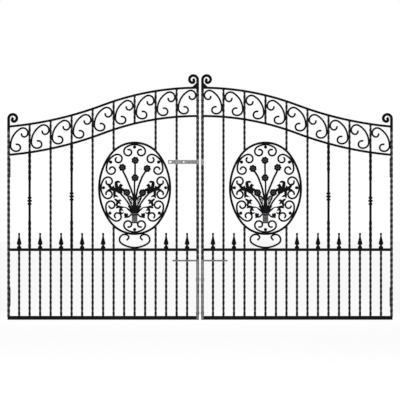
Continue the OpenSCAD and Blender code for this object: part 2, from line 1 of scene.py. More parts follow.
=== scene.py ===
"""Dresses the estate gate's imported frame: twisted bars, forged scrolls, cast ornament and zinc fittings."""

import math

import bmesh
import bpy
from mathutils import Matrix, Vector


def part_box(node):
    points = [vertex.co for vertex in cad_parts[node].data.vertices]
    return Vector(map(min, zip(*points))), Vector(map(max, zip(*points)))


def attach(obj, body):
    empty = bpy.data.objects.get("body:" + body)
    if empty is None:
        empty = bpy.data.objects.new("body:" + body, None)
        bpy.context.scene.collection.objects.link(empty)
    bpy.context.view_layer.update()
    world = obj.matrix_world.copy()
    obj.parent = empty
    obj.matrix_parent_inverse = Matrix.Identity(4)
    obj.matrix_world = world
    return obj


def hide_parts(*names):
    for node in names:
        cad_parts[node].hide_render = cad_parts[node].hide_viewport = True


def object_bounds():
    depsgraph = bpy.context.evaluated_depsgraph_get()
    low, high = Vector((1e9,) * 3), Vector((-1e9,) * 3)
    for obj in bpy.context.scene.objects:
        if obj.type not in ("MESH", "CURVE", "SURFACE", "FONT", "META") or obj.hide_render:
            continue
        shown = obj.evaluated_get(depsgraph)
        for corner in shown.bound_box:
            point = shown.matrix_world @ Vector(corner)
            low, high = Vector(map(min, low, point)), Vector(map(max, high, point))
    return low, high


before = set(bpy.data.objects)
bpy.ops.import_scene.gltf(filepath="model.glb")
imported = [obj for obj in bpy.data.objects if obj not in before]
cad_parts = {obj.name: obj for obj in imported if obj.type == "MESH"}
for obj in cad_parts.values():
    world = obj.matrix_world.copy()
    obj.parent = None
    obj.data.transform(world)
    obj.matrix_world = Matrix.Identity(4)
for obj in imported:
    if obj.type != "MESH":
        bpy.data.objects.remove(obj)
CAD_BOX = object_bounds()

bl_info = {
    "name": "Estate gate",
    "version": (1, 0, 0),
    "blender": (4, 5, 0),
    "location": "View3D > Sidebar > Gate",
    "description": "Models a pair of wrought-iron gate leaves over their frame",
    "category": "Object",
}

MM = 0.001
# Points nearer than this, in metres, are one point
SAME_PLACE = 1e-6


def sine(degrees):
    return math.sin(math.radians(degrees))


def cosine(degrees):
    return math.cos(math.radians(degrees))


# The leaf's plane, the underside of its bottom rail and the middle between the two leaves
RAIL_LOW, RAIL_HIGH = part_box("left_bottom_rail")
LEAF_Y = (RAIL_LOW.y + RAIL_HIGH.y) / 2
BASE_Z = RAIL_LOW.z
GATE_MIDDLE = (CAD_BOX[0].x + CAD_BOX[1].x) / 2

# Sizes of the leaf in millimetres, across from the hinge stile's axis and up from the bottom rail
BAR_PITCH = 78
LEAF_W = 1404
BAY_W = 156
BAYS = LEAF_W // BAY_W
STILE = 16
THIN_BAR = 13
COLLARED_BAR = 17
BOTTOM_RAIL_TOP = 27
MIDDLE_RAIL_Z = 511
MIDDLE_RAIL_TOP = 530
RAIL_H = 15
RAIL_DEPTH = 16
FRIEZE_DROP = 210
HINGE_SIDE_Z = 1435
LOW_SLOPE = 5
MID_SLOPE = 20.7
SCROLL_BAR = 12
# A forged bar stands a little full of its nominal size
FULLNESS = 1.4
# How far the flats of a bent bar may stand off its true curve
FACET_SAG = 0.06
# Cuts across a twisted bar in each quarter turn
CUTS_PER_QUARTER = 5
# Rounding of the edges of bent bars, flat bars and small plates
BENT_EDGE = 1.2
BAR_EDGE = 1.5
PLATE_EDGE = 1
SCROLL_DEPTH = 10
WELD_GAP = 0.3
STILE_NECK = 60
STILE_SCROLL_R = 31.5
STILE_SCROLL_BAR = 19
# Plain length of a stile under the upper rail, above the twist
NECK_BELOW = 34
# Overlap of the neck and the twist below it
NECK_LAP = 2
# How far the ends of the bars, of the stiles and of the bars at the oval are let into what holds them
LET_IN = 3
STILE_LET_IN = 4
OVAL_LET_IN = 2
OVAL_X = 936
OVAL_Z = 976.5
OVAL_A = 263.5
OVAL_B = 339
OVAL_BULGE = 37.5
OVAL_BAR = 15
OVAL_SCROLL_R = 109.75
OVAL_DEPTH = 12
BALL_R = 12.5
BALL_RISE = SCROLL_BAR / 2 + WELD_GAP + BALL_R

HALF_SPAN = LEAF_W / 2
HOLLOW_R = HALF_SPAN / (sine(MID_SLOPE) - sine(LOW_SLOPE))
CROWN_R = HALF_SPAN / sine(MID_SLOPE)
MEETING_SIDE_Z = (
    HINGE_SIDE_Z + HOLLOW_R * (cosine(LOW_SLOPE) - cosine(MID_SLOPE)) + CROWN_R * (1 - cosine(MID_SLOPE)))
OVAL_END_R = OVAL_A - OVAL_BULGE
OVAL_END_RISE = OVAL_B - OVAL_END_R
OVAL_SIDE_INSET = (OVAL_END_RISE ** 2 - OVAL_BULGE ** 2) / (2 * OVAL_BULGE)
OVAL_SIDE_R = OVAL_A + OVAL_SIDE_INSET
OVAL_SIDE_ANGLE = math.degrees(math.atan2(OVAL_END_RISE, OVAL_SIDE_INSET))


def rail_height(x):
    """Height of the upper curved rail's centre line."""
    if x < HALF_SPAN:
        reach = x + HOLLOW_R * sine(LOW_SLOPE)
        return HINGE_SIDE_Z + HOLLOW_R * cosine(LOW_SLOPE) - math.sqrt(HOLLOW_R ** 2 - reach ** 2)
    return MEETING_SIDE_Z - CROWN_R + math.sqrt(CROWN_R ** 2 - (LEAF_W - x) ** 2)


def lower_rail_height(x):
    """Height of the lower curved rail's centre line."""
    return rail_height(x) - FRIEZE_DROP


def at(x, z, y=0):
    """A place on the left leaf, from millimetres on the leaf to metres in the frame."""
    return Vector((x * MM, LEAF_Y + y * MM, BASE_Z + z * MM))


# Scales that mirror a piece across the gate, or from the front of the leaf to its back
ACROSS = (-1, 1, 1)
TO_BACK = (1, -1, 1)


class GateSizes(bpy.types.PropertyGroup):
    """Sizes of the smith's work that the frame leaves open"""

    quarter_turn: bpy.props.FloatProperty(
        name="Quarter turn", description="Length of bar in a quarter turn of the twist",
        default=0.0415, unit="LENGTH")
    edge_round: bpy.props.FloatProperty(
        name="Edge round", description="Rounding of the hot-rolled bars' edges",
        default=0.0015, unit="LENGTH")
    twisted_end: bpy.props.FloatProperty(
        name="Twisted end", description="Length of the twist at each end of a collared bar",
        default=0.21, unit="LENGTH")
    petals: bpy.props.IntProperty(
        name="Petals", description="Petals in each ring of a rosette", default=7)
    floor_drop: bpy.props.FloatProperty(
        name="Floor drop", description="Distance from the bottom rail to the studio floor",
        default=0.135, unit="LENGTH")


class GateColours(bpy.types.PropertyGroup):
    """Colours of the finishes as sRGB hex values"""

    enamel: bpy.props.StringProperty(
        name="Enamel", description="Black enamel of the bars", default="#030304")
    enamel_thin: bpy.props.StringProperty(
        name="Thin enamel", description="Enamel where it has drawn thin over an edge", default="#242528")
    # Painted highlight: grey that stands in for the light caught by the arrises of the twisted bars
    arris: bpy.props.StringProperty(
        name="Arris", description="Edges of the twisted bars that hands have rubbed", default="#7a7b7e")
    casting: bpy.props.StringProperty(
        name="Casting", description="Black paint in the hollows of the castings", default="#030304")
    # Painted highlight on the convex edges of the castings
    casting_high: bpy.props.StringProperty(
        name="Casting highs", description="Black paint on the rubbed highs of the castings",
        default="#161618")
    # Painted highlight: the rosettes' boss rings are painted grey, lighter on their edges, standing in for
    # the light they catch
    dusty: bpy.props.StringProperty(
        name="Dusty highs", description="Paint on the rubbed rings of the rosettes", default="#4e4e50")
    dusty_low: bpy.props.StringProperty(
        name="Dusty hollows", description="Paint in the hollows of the rosettes' rings", default="#2c2c2e")
    # Painted highlight: grey on the sheath and its collar that stands in for the light on its reeds, lighter
    # on their edges
    graphite_low: bpy.props.StringProperty(
        name="Graphite hollows", description="Graphite paint between the reeds of the sheath",
        default="#363638")
    graphite: bpy.props.StringProperty(
        name="Graphite", description="Graphite paint of the stem sheath", default="#6a6a6c")
    zinc: bpy.props.StringProperty(
        name="Zinc plate", description="Zinc plate of the latch", default="#707072")
    galvanised: bpy.props.StringProperty(
        name="Galvanised", description="Dull zinc coat of the drop bolts", default="#6a6a6c")
    floor: bpy.props.StringProperty(
        name="Floor", description="Studio floor", default="#f4f4f4")


def clear():
    """Leave edit mode with nothing selected."""
    if bpy.context.object and bpy.context.object.mode != "OBJECT":
        bpy.ops.object.mode_set(mode="OBJECT")
    bpy.ops.object.select_all(action="DESELECT")


def only(obj):
    """Select one object and make it the active one."""
    clear()
    obj.select_set(True)
    bpy.context.view_layer.objects.active = obj


def named(obj, name):
    """Give an object and its mesh one name."""
    obj.name = name
    obj.data.name = name
    return obj


def begin(primitive, name, **settings):
    """Add a primitive and name it."""
    clear()
    primitive(**settings)
    return named(bpy.context.object, name)


def duplicate(obj, name):
    """Copy an object with its own mesh."""
    only(obj)
    bpy.ops.object.duplicate(linked=False)
    return named(bpy.context.object, name)


def discard(obj):
    """Delete a piece that was only a model for its copies."""
    only(obj)
    bpy.ops.object.delete()


def settle(obj):
    """Put an object's place, turn and scale into its mesh."""
    only(obj)
    bpy.ops.object.transform_apply(location=True, rotation=True, scale=True)
    return obj


def edit(obj, elements="FACE"):
    """Open a mesh for editing with everything selected."""
    only(obj)
    bpy.ops.object.mode_set(mode="EDIT")
    bpy.ops.mesh.select_mode(type=elements)
    bpy.ops.mesh.select_all(action="SELECT")


def done():
    bpy.ops.object.mode_set(mode="OBJECT")


def pick(obj, kind, test):
    """Select the verts, edges or faces of an open mesh that pass a test of their place or direction."""
    bpy.ops.mesh.select_all(action="DESELECT")
    shape = bmesh.from_edit_mesh(obj.data)
    for element in getattr(shape, kind):
        if test(element):
            element.select_set(True)
    shape.select_flush_mode()
    bmesh.update_edit_mesh(obj.data)


def upright(edge):
    """Whether an edge runs up."""
    run = edge.verts[0].co - edge.verts[1].co
    return abs(run.z) > 0.9 * run.length


def close(obj):
    """Merge the doubles of a mesh and turn its faces outwards."""
    edit(obj)
    bpy.ops.mesh.remove_doubles(threshold=SAME_PLACE)
    bpy.ops.mesh.normals_make_consistent(inside=False)
    done()
    return obj


def finish_with(obj, kind, **settings):
    """Add a modifier with its settings and apply it."""
    only(obj)
    bpy.ops.object.modifier_add(type=kind)
    modifier = obj.modifiers[-1]
    for key, value in settings.items():
        setattr(modifier, key, value)
    bpy.ops.object.modifier_apply(modifier=modifier.name)
    return obj


def ease(obj, width, segments=2, angle=40):
    """Round the sharp edges of a piece and smooth its shading."""
    finish_with(
        obj, "BEVEL", width=width, segments=segments, limit_method="ANGLE", angle_limit=math.radians(angle),
        use_clamp_overlap=True, harden_normals=False)
    return smooth(obj)


def smooth(obj, angle=35):
    only(obj)
    bpy.ops.object.shade_smooth_by_angle(angle=math.radians(angle))
    return obj


def copied(obj, name, move=(0, 0, 0)):
    """Copy a piece, moved."""
    new = duplicate(obj, name)
    new.location = move
    return settle(new)


def placed(obj, name, place, turn):
    """Copy a piece that was modelled at the frame's origin to a place, turned in the leaf's plane."""
    new = duplicate(obj, name)
    new.location = place
    new.rotation_euler = (0, -math.radians(turn), 0)
    return settle(new)


def mirrored(obj, name, middle, flip=ACROSS):
    """Copy a piece to the other side of an upright plane."""
    new = copied(obj, name)
    edit(new)
    bpy.ops.transform.resize(value=flip, center_override=middle)
    bpy.ops.mesh.normals_make_consistent(inside=False)
    done()
    return new


def join(name, objs):
    """Join meshes into one piece."""
    only(objs[0])
    for obj in objs[1:]:
        obj.select_set(True)
    if len(objs) > 1:
        bpy.ops.object.join()
    return named(objs[0], name)


def hand_over(obj, body, node, material):
    """Give a finished piece its material and its body, and let it stand for a CAD node if one is named."""
    obj.data.materials.clear()
    obj.data.materials.append(material)
    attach(obj, body)
    if node:
        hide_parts(node)


def on_both_leaves(parts, piece, node, material):
    """Join the parts of a piece on the left leaf, and hand it over with its mirror image on the right."""
    left = join("left_" + piece, parts)
    right = mirrored(left, "right_" + piece, (GATE_MIDDLE, 0, 0))
    for hand, obj in (("left", left), ("right", right)):
        hand_over(obj, hand + "_leaf", node and hand + "_" + node, material)


def bent_bar(name, x, z, heading, bends, thick, depth, neck=0):
    """Bend a bar along tangent arcs in the leaf's plane, each a radius and a turn, left turns positive."""
    bar = begin(
        bpy.ops.mesh.primitive_plane_add, name, size=1, location=at(x, z),
        rotation=(0, math.radians(90 - heading), 0))
    bar.scale = ((thick + FULLNESS) * MM, depth * MM, 1)
    settle(bar)
    edit(bar)
    if neck:
        run = (neck * MM * cosine(heading), 0, neck * MM * sine(heading))
        bpy.ops.mesh.extrude_region_move(TRANSFORM_OT_translate={"value": run})
        x += neck * cosine(heading)
        z += neck * sine(heading)
    for radius, turn in bends:
        side = math.copysign(radius, turn)
        middle_x = x - side * sine(heading)
        middle_z = z + side * cosine(heading)
        steps = math.ceil(abs(turn) / math.degrees(2 * math.acos(1 - FACET_SAG / radius)))
        bpy.ops.mesh.spin(
            steps=steps, angle=math.radians(turn), center=at(middle_x, middle_z), axis=(0, 1, 0))
        heading += turn
        x = middle_x + side * sine(heading)
        z = middle_z - side * cosine(heading)
    done()
    return close(bar)


def end_of(x, z, heading, bends):
    """Where a chain of bends ends, and its heading there."""
    for radius, turn in bends:
        side = math.copysign(radius, turn)
        x += side * (sine(heading + turn) - sine(heading))
        z += side * (cosine(heading) - cosine(heading + turn))
        heading += turn
    return x, z, heading


def twin_scroll(name, half):
    """A scroll of two like halves with its back at the frame's origin, bent in one run from tip to tip."""
    x, z, heading = end_of(0, 0, 0, half)
    scroll = bent_bar(name, -x, z, -heading, half[::-1] + half, SCROLL_BAR, SCROLL_DEPTH)
    scroll.location = -at(0, 0)
    settle(scroll)
    return ease(scroll, BENT_EDGE * MM)


def twisted_bar(name, x, z0, z1, side, ends=None):
    """A square bar twisted hot, along its whole length or along both ends only."""
    sizes = bpy.context.scene.gate_sizes
    length = (z1 - z0) * MM
    bar = begin(bpy.ops.mesh.primitive_cube_add, name, size=1, location=at(x, (z0 + z1) / 2))
    bar.scale = ((side + FULLNESS / 2) * MM, (side + FULLNESS / 2) * MM, length)
    only(bar)
    bpy.ops.object.transform_apply(location=False, rotation=False, scale=True)
    edit(bar, "EDGE")
    pick(bar, "edges", upright)
    bpy.ops.mesh.bevel(offset=sizes.edge_round, segments=2, affect="EDGES")
    pick(bar, "edges", upright)
    bpy.ops.mesh.subdivide(number_cuts=round(length / sizes.quarter_turn * CUTS_PER_QUARTER))
    done()
    mark_arrises(bar, side)
    stretches = [(0, 1)]
    if ends:
        stretches = [(0, ends / length), (1 - ends / length, 1)]
    for low, high in stretches:
        quarters = round(length * (high - low) / sizes.quarter_turn)
        finish_with(
            bar, "SIMPLE_DEFORM", deform_method="TWIST", deform_axis="Z", limits=(low, high),
            angle=math.radians(90 * quarters))
    return smooth(settle(bar))


def mark_arrises(bar, side):
    """Mark the middle of a square bar's rounded edges, where a grey highlight is painted."""
    reach = max(math.hypot(v.co.x, v.co.y) for v in bar.data.vertices)
    marks = bar.data.attributes.new("arris", "FLOAT", "POINT")
    for v, mark in zip(bar.data.vertices, marks.data):
        mark.value = 1.0 if math.hypot(v.co.x, v.co.y) > reach - 0.01 * side * MM else 0.0


def eased_spine(spine, widths, steps=4):
    """Places and widths along a smooth curve through the given places."""
    places = [Vector((p[0], p[1], p[2] if len(p) > 2 else 0)) for p in spine]
    ends = [2 * places[0] - places[1]] + places + [2 * places[-1] - places[-2]]
    path, sizes = [], []
    for i in range(len(places) - 1):
        a, b, c, d = ends[i:i + 4]
        for j in range(steps):
            t = j / steps
            path.append(0.5 * (
                2 * b + (c - a) * t + (2 * a - 5 * b + 4 * c - d) * t ** 2
                + (3 * b - a - 3 * c + d) * t ** 3))
            sizes.append(widths[i] + (widths[i + 1] - widths[i]) * t * t * (3 - 2 * t))
    return path + [places[-1]], sizes + [widths[-1]]


def swept(name, sides, deep, spine, widths):
    """A bar drawn out along a smooth spine from a round or flattened section, tapered on the way."""
    path, sizes = eased_spine(spine, widths)
    points = [at(p.x, p.y, p.z) for p in path]
    headings = []
    for i in range(len(points)):
        run = points[min(i + 1, len(points) - 1)] - points[max(i - 1, 0)]
        headings.append(math.atan2(run.z, run.x))
    bar = begin(
        bpy.ops.mesh.primitive_circle_add, name, vertices=sides, radius=0.5, fill_type="NGON",
        location=points[0], rotation=(0, math.pi / 2 - headings[0], 0))
    bar.scale = (sizes[0] * MM, sizes[0] * deep * MM, 1)
    settle(bar)
    edit(bar)
    if deep < 1:
        # dish both faces by pressing in the points half way between the ridge and the edges
        flank = 0.36 * sizes[0] * deep * MM
        pick(bar, "verts", lambda v: 0.3 * flank < abs(v.co.y - points[0].y) < 1.1 * flank)
        bpy.ops.transform.resize(value=(1, 0.5, 1), center_override=points[0])
        bpy.ops.mesh.select_all(action="SELECT")
    for i in range(1, len(points)):
        bpy.ops.mesh.extrude_region_move(TRANSFORM_OT_translate={"value": points[i] - points[i - 1]})
        turn = (headings[i] - headings[i - 1] + math.pi) % (2 * math.pi) - math.pi
        bpy.ops.transform.rotate(value=turn, orient_axis="Y", center_override=points[i])
        grow = sizes[i] / sizes[i - 1]
        bpy.ops.transform.resize(value=(grow, grow, grow), center_override=points[i])
    done()
    return smooth(close(bar), 50 if deep == 1 else 30)


def rod(name, spine, widths, sides=12):
    """A round stem."""
    return swept(name, sides, 1, spine, widths)


def forged_leaf(name, spine, widths):
    """A leaf hammered over a swage: a ridge along its middle, dished halves and a rounded tip."""
    run = (Vector(spine[-1]) - Vector(spine[-2])).normalized()
    tip = Vector(spine[-1]) + 0.32 * widths[-1] * run
    return swept(name, 8, 0.5, spine + (tuple(tip),), widths + (0.3 * widths[-1],))


def eased_copy(node, name, width):
    """A copy of a CAD node with its edges rounded."""
    piece = duplicate(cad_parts[node], name)
    piece.parent = None
    edit(piece)
    bpy.ops.mesh.remove_doubles(threshold=SAME_PLACE)
    bpy.ops.mesh.dissolve_limited(angle_limit=math.radians(1))
    done()
    return ease(piece, width, angle=35)


def turned(name, x, z, profile, sides=32, y=0):
    """A round casting built up ring by ring from (radius, height) pairs."""
    r0, h0 = profile[0]
    piece = begin(
        bpy.ops.mesh.primitive_circle_add, name, vertices=sides, radius=r0 * MM, fill_type="NGON",
        location=at(x, z + h0, y))
    settle(piece)
    edit(piece)
    last_r, last_h = r0, h0
    for r, h in profile[1:]:
        bpy.ops.mesh.extrude_region_move(TRANSFORM_OT_translate={"value": (0, 0, (h - last_h) * MM)})
        bpy.ops.transform.resize(value=(r / last_r, r / last_r, 1), center_override=at(x, z + h, y))
        last_r, last_h = r, h
    done()
    return smooth(close(piece), 50)


# Materials

def linear(hex_value):
    """An sRGB hex value as linear colour."""
    parts = [int(hex_value[i:i + 2], 16) / 255 for i in (1, 3, 5)]
    return tuple(p / 12.92 if p <= 0.04045 else ((p + 0.055) / 1.055) ** 2.4 for p in parts) + (1,)


def add(tree, kind, settings=None, links=None):
    """Add a node with its settings and its links from other nodes."""
    node = tree.nodes.new(kind)
    for key, value in (settings or {}).items():
        if isinstance(key, str) and hasattr(node, key):
            setattr(node, key, value)
        else:
            node.inputs[key].default_value = value
    for key, (source, output) in (links or {}).items():
        tree.links.new(source.outputs[output], node.inputs[key])
    return node


def per_mm(size):
    """Texture scale that gives a feature of this size in millimetres."""
    return 1 / (size * MM)


# The part of a noise texture's range that its values mostly fill
NOISE_RANGE = {"From Min": 0.3, "From Max": 0.7}


def new_tree(name):
    material = bpy.data.materials.new(name)
    material.use_nodes = True
    material.node_tree.nodes.clear()
    return material, material.node_tree


def black_enamel(name, rubbed, dull, sheen, arris_highlight_strength):
    """Black enamel on hot-rolled bar: near black, with a soft broken gloss, drawn thin on the edges, and with
    a painted highlight of dull grey along the arrises of the twists."""
    colours = bpy.context.scene.gate_colours
    material, tree = new_tree(name)
    place = add(tree, "ShaderNodeTexCoord")
    # orange peel of the spray, 9 mm so that it shows
    peel = add(
        tree, "ShaderNodeTexNoise", {"Scale": per_mm(9), "Detail": 3, "Roughness": 0.55},
        {"Vector": (place, "Object")})
    # dust and handling, a hand's breadth wide; the same patches set how strong the painted arris highlight is
    dust_and_highlight_patches = add(
        tree, "ShaderNodeTexNoise", {"Scale": per_mm(90), "Detail": 4, "Roughness": 0.6},
        {"Vector": (place, "Object")})
    pointiness_source = add(tree, "ShaderNodeNewGeometry")
    edge = add(
        tree, "ShaderNodeMapRange", {"From Min": 0.52, "From Max": 0.62, "To Min": 0, "To Max": 1},
        {"Value": (pointiness_source, "Pointiness")})
    worn = add(tree, "ShaderNodeMath", {"operation": "MULTIPLY"}, {0: (edge, "Result"), 1: (dust_and_highlight_patches, "Fac")})
    colour = add(tree, "ShaderNodeMix", {"data_type": "RGBA"}, {"Factor": (worn, 0)})
    colour.inputs[6].default_value = linear(colours.enamel)
    colour.inputs[7].default_value = linear(colours.enamel_thin)
    if arris_highlight_strength:
        arris = add(tree, "ShaderNodeAttribute", {"attribute_name": "arris"})
        # the painted arris highlight is stronger on some stretches than others
        patch = add(
            tree, "ShaderNodeMapRange", {**NOISE_RANGE, "To Min": 0.6 * arris_highlight_strength, "To Max": arris_highlight_strength},
            {"Value": (dust_and_highlight_patches, "Fac")})
        share = add(
            tree, "ShaderNodeMath", {"operation": "MULTIPLY"}, {0: (arris, "Fac"), 1: (patch, "Result")})
        # painted highlight: the marked arrises are coloured grey where they would catch the light
        colour = add(tree, "ShaderNodeMix", {"data_type": "RGBA"}, {"Factor": (share, 0), 6: (colour, 2)})
        colour.inputs[7].default_value = linear(colours.arris)
    gloss = add(
        tree, "ShaderNodeMapRange", {**NOISE_RANGE, "To Min": rubbed, "To Max": dull},
        {"Value": (dust_and_highlight_patches, "Fac")})
    bump = add(tree, "ShaderNodeBump", {"Strength": 0.12, "Distance": 0.0006}, {"Height": (peel, "Fac")})
    shader = add(
        tree, "ShaderNodeBsdfPrincipled", {"Specular IOR Level": sheen, "IOR": 1.5},
        {"Base Color": (colour, 2), "Roughness": (gloss, "Result"), "Normal": (bump, "Normal")})
    add(tree, "ShaderNodeOutputMaterial", None, {"Surface": (shader, "BSDF")})
    return material


def painted_casting(name, low, high, grain, rise, sheen):
    """Sand-cast iron under paint: the grit of the mould shows as grain, and convex edges are painted lighter
    as a painted highlight.
    """
    material, tree = new_tree(name)
    place = add(tree, "ShaderNodeTexCoord")
    # mould grit, drawn coarser than real sand so that it shows
    grit = add(
        tree, "ShaderNodeTexNoise", {"Scale": per_mm(grain), "Detail": 5, "Roughness": 0.65},
        {"Vector": (place, "Object")})
    pointiness_source = add(tree, "ShaderNodeNewGeometry")
    edge = add(
        tree, "ShaderNodeMapRange", {"From Min": 0.5, "From Max": 0.6, "To Min": 0, "To Max": 1},
        {"Value": (pointiness_source, "Pointiness")})
    # painted highlight: convex edges, found by pointiness, take the lighter colour
    colour = add(tree, "ShaderNodeMix", {"data_type": "RGBA"}, {"Factor": (edge, "Result")})
    colour.inputs[6].default_value = linear(low)
    colour.inputs[7].default_value = linear(high)
    gloss = add(
        tree, "ShaderNodeMapRange", {**NOISE_RANGE, "To Min": 0.55, "To Max": 0.72},
        {"Value": (grit, "Fac")})
    bump = add(tree, "ShaderNodeBump", {"Strength": 0.25, "Distance": rise * MM}, {"Height": (grit, "Fac")})
    shader = add(
        tree, "ShaderNodeBsdfPrincipled", {"Specular IOR Level": sheen, "IOR": 1.5},
        {"Base Color": (colour, 2), "Roughness": (gloss, "Result"), "Normal": (bump, "Normal")})
    add(tree, "ShaderNodeOutputMaterial", None, {"Surface": (shader, "BSDF")})
    return material


def zinc_coat(name, hex_value, dull, spangle):
    """Zinc on steel: a grey metal whose crystals show as faint patches of lighter and darker gloss."""
    material, tree = new_tree(name)
    place = add(tree, "ShaderNodeTexCoord")
    # zinc crystals, as broad as the coat grows them
    crystal = add(
        tree, "ShaderNodeTexVoronoi", {"Scale": per_mm(spangle), "Randomness": 1},
        {"Vector": (place, "Object")})
    tone = add(tree, "ShaderNodeSeparateColor", None, {"Color": (crystal, "Color")})
    # rubbed patches, a thumb's breadth wide
    scratch = add(
        tree, "ShaderNodeTexNoise", {"Scale": per_mm(14), "Detail": 5, "Roughness": 0.6},
        {"Vector": (place, "Object")})
    colour = add(tree, "ShaderNodeMix", {"data_type": "RGBA"}, {"Factor": (tone, "Red")})
    base = linear(hex_value)
    for socket, strength in ((6, 0.8), (7, 1.15)):
        colour.inputs[socket].default_value = tuple(c * strength for c in base[:3]) + (1,)
    gloss = add(
        tree, "ShaderNodeMapRange", {**NOISE_RANGE, "To Min": dull - 0.08, "To Max": dull + 0.1},
        {"Value": (scratch, "Fac")})
    bump = add(tree, "ShaderNodeBump", {"Strength": 0.1, "Distance": 0.0003}, {"Height": (scratch, "Fac")})
    shader = add(
        tree, "ShaderNodeBsdfPrincipled", {"Metallic": 0.75},
        {"Base Color": (colour, 2), "Roughness": (gloss, "Result"), "Normal": (bump, "Normal")})
    add(tree, "ShaderNodeOutputMaterial", None, {"Surface": (shader, "BSDF")})
    return material


# Each finish by its maker and the maker's arguments in order, with colours by their property's name
FINISHES = {
    "satin_black_enamel": (black_enamel, 0.5, 0.66, 0.02, 0),
    # the next two finishes paint a grey highlight along the arrises of the twists
    "rubbed_black_enamel": (black_enamel, 0.28, 0.36, 0.2, 0.15),
    "handled_black_enamel": (black_enamel, 0.3, 0.4, 0.09, 0.1),
    # painted highlight: lighter colour on the convex edges of the castings
    "black_painted_cast_iron": (painted_casting, "casting", "casting_high", 2.5, 0.5, 0.025),
    # painted highlight: grey boss rings of the rosettes, lighter on their convex edges
    "dusty_black_cast_iron": (painted_casting, "dusty_low", "dusty", 2.5, 0.5, 0.08),
    # painted highlight: grey sheath, lighter on the crests of its reeds
    "graphite_painted_cast_iron": (painted_casting, "graphite_low", "graphite", 2, 0.3, 0.1),
    "bright_zinc_plate": (zinc_coat, "zinc", 0.62, 7),
    "dull_galvanised_steel": (zinc_coat, "galvanised", 0.66, 12),
}


def finish_of(name):
    """A finish of the gate, made when it is first asked for."""
    found = bpy.data.materials.get(name)
    if found:
        return found
    make, *settings = FINISHES[name]
    colours = bpy.context.scene.gate_colours
    return make(name, *(getattr(colours, one) if isinstance(one, str) else one for one in settings))


# Pieces

class GATE_OT_rails(bpy.types.Operator):
    """Model the straight rails and the pairs of curved rails"""
    bl_idname = "gate.rails"
    bl_label = "Rails"

    def execute(self, context):
        enamel = finish_of("satin_black_enamel")
        for hand in ("left", "right"):
            for level in ("bottom", "middle"):
                self.straight(hand, level, enamel)
        bends = [(HOLLOW_R, MID_SLOPE - LOW_SLOPE), (CROWN_R, -MID_SLOPE)]
        upper = bent_bar("upper_rail", 0, HINGE_SIDE_Z, LOW_SLOPE, bends, RAIL_H, RAIL_DEPTH)
        ease(upper, BENT_EDGE * MM)
        lower = copied(upper, "lower_rail", (0, 0, -FRIEZE_DROP * MM))
        on_both_leaves([upper, lower], "swan_neck_rails", "curved_rails", enamel)
        return {"FINISHED"}

    def straight(self, hand, level, enamel):
        """A straight rail, a little full: the bottom one keeps its underside, the middle one its middle."""
        node = hand + "_" + level + "_rail"
        rail = eased_copy(node, node + "_bar", BAR_EDGE * MM)
        low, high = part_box(node)
        keeps = low.z if level == "bottom" else (low.z + high.z) / 2
        edit(rail)
        bpy.ops.transform.resize(
            value=(1, 1, 1 + FULLNESS * MM / (high.z - low.z)), center_override=(0, 0, keeps))
        done()
        hand_over(rail, hand + "_leaf", node, enamel)


# The scroll at a stile's head: each bend's radius as a share of the widest, and its turn
STILE_SCROLL_BENDS = ((1, 90), (0.94, 90), (0.76, 90), (0.34, 90), (0.76, 50))
# The gusset's reach from the stile's face, into the stile, and its low and high edges above the rail
GUSSET_OUT, GUSSET_IN = 38, 4
GUSSET_LOW, GUSSET_HIGH = 1, 42


class GATE_OT_stiles(bpy.types.Operator):
    """Model the twisted stiles with the scrolls at their heads"""
    bl_idname = "gate.stiles"
    bl_label = "Stiles"

    def execute(self, context):
        for stile, x, rail_z, side in (
                ("hinge_stile", 0, HINGE_SIDE_Z, -1), ("meeting_stile", LEAF_W, MEETING_SIDE_Z, 1)):
            shaft = twisted_bar(
                "shaft", x, BOTTOM_RAIL_TOP - STILE_LET_IN, rail_z - NECK_BELOW + NECK_LAP, STILE)
            on_both_leaves(
                [shaft], stile + "_twist", stile, finish_of("rubbed_black_enamel"))
            head = [self.scroll(x, rail_z, side)]
            if x:
                head.append(self.gusset(x, rail_z))
            on_both_leaves(head, stile + "_head", stile, finish_of("satin_black_enamel"))
        return {"FINISHED"}

    def scroll(self, x, rail_z, side):
        """The drawn neck through the upper rail, with its scroll."""
        bends = [(STILE_SCROLL_R * share, side * turn) for share, turn in STILE_SCROLL_BENDS]
        bar = bent_bar(
            "head", x, rail_z - NECK_BELOW, 90, bends, STILE_SCROLL_BAR, STILE + FULLNESS,
            neck=STILE_NECK + NECK_BELOW - FULLNESS / 2)
        return ease(bar, BAR_EDGE * MM)

    def gusset(self, x, rail_z):
        """The small three-cornered plate between the meeting stile and the upper rail."""
        face = x - STILE / 2
        plate = begin(
            bpy.ops.mesh.primitive_plane_add, "gusset", size=1, rotation=(math.pi / 2, 0, 0),
            location=at(face - (GUSSET_OUT - GUSSET_IN) / 2, rail_z + (GUSSET_LOW + GUSSET_HIGH) / 2))
        plate.scale = ((GUSSET_OUT + GUSSET_IN) * MM, (GUSSET_HIGH - GUSSET_LOW) * MM, 1)
        settle(plate)
        edit(plate, "VERT")
        corner = at(face - GUSSET_OUT, rail_z + GUSSET_HIGH)
        pick(plate, "verts", lambda v: (v.co - corner).length < 1 * MM)
        bpy.ops.mesh.delete(type="VERT")
        bpy.ops.mesh.select_all(action="SELECT")
        bpy.ops.mesh.edge_face_add()
        bpy.ops.transform.translate(value=(0, -SCROLL_DEPTH / 2 * MM, 0))
        bpy.ops.mesh.extrude_region_move(TRANSFORM_OT_translate={"value": (0, SCROLL_DEPTH * MM, 0)})
        done()
        return ease(close(plate), PLATE_EDGE * MM)


# Bars by their step along the leaf
LONG_BARS = (4, 8, 16)
OVAL_BARS = (10, 14)
COLLARED_BARS = (2, 6)
SPEARS = (1, 3, 5, 7, 9, 15, 17)


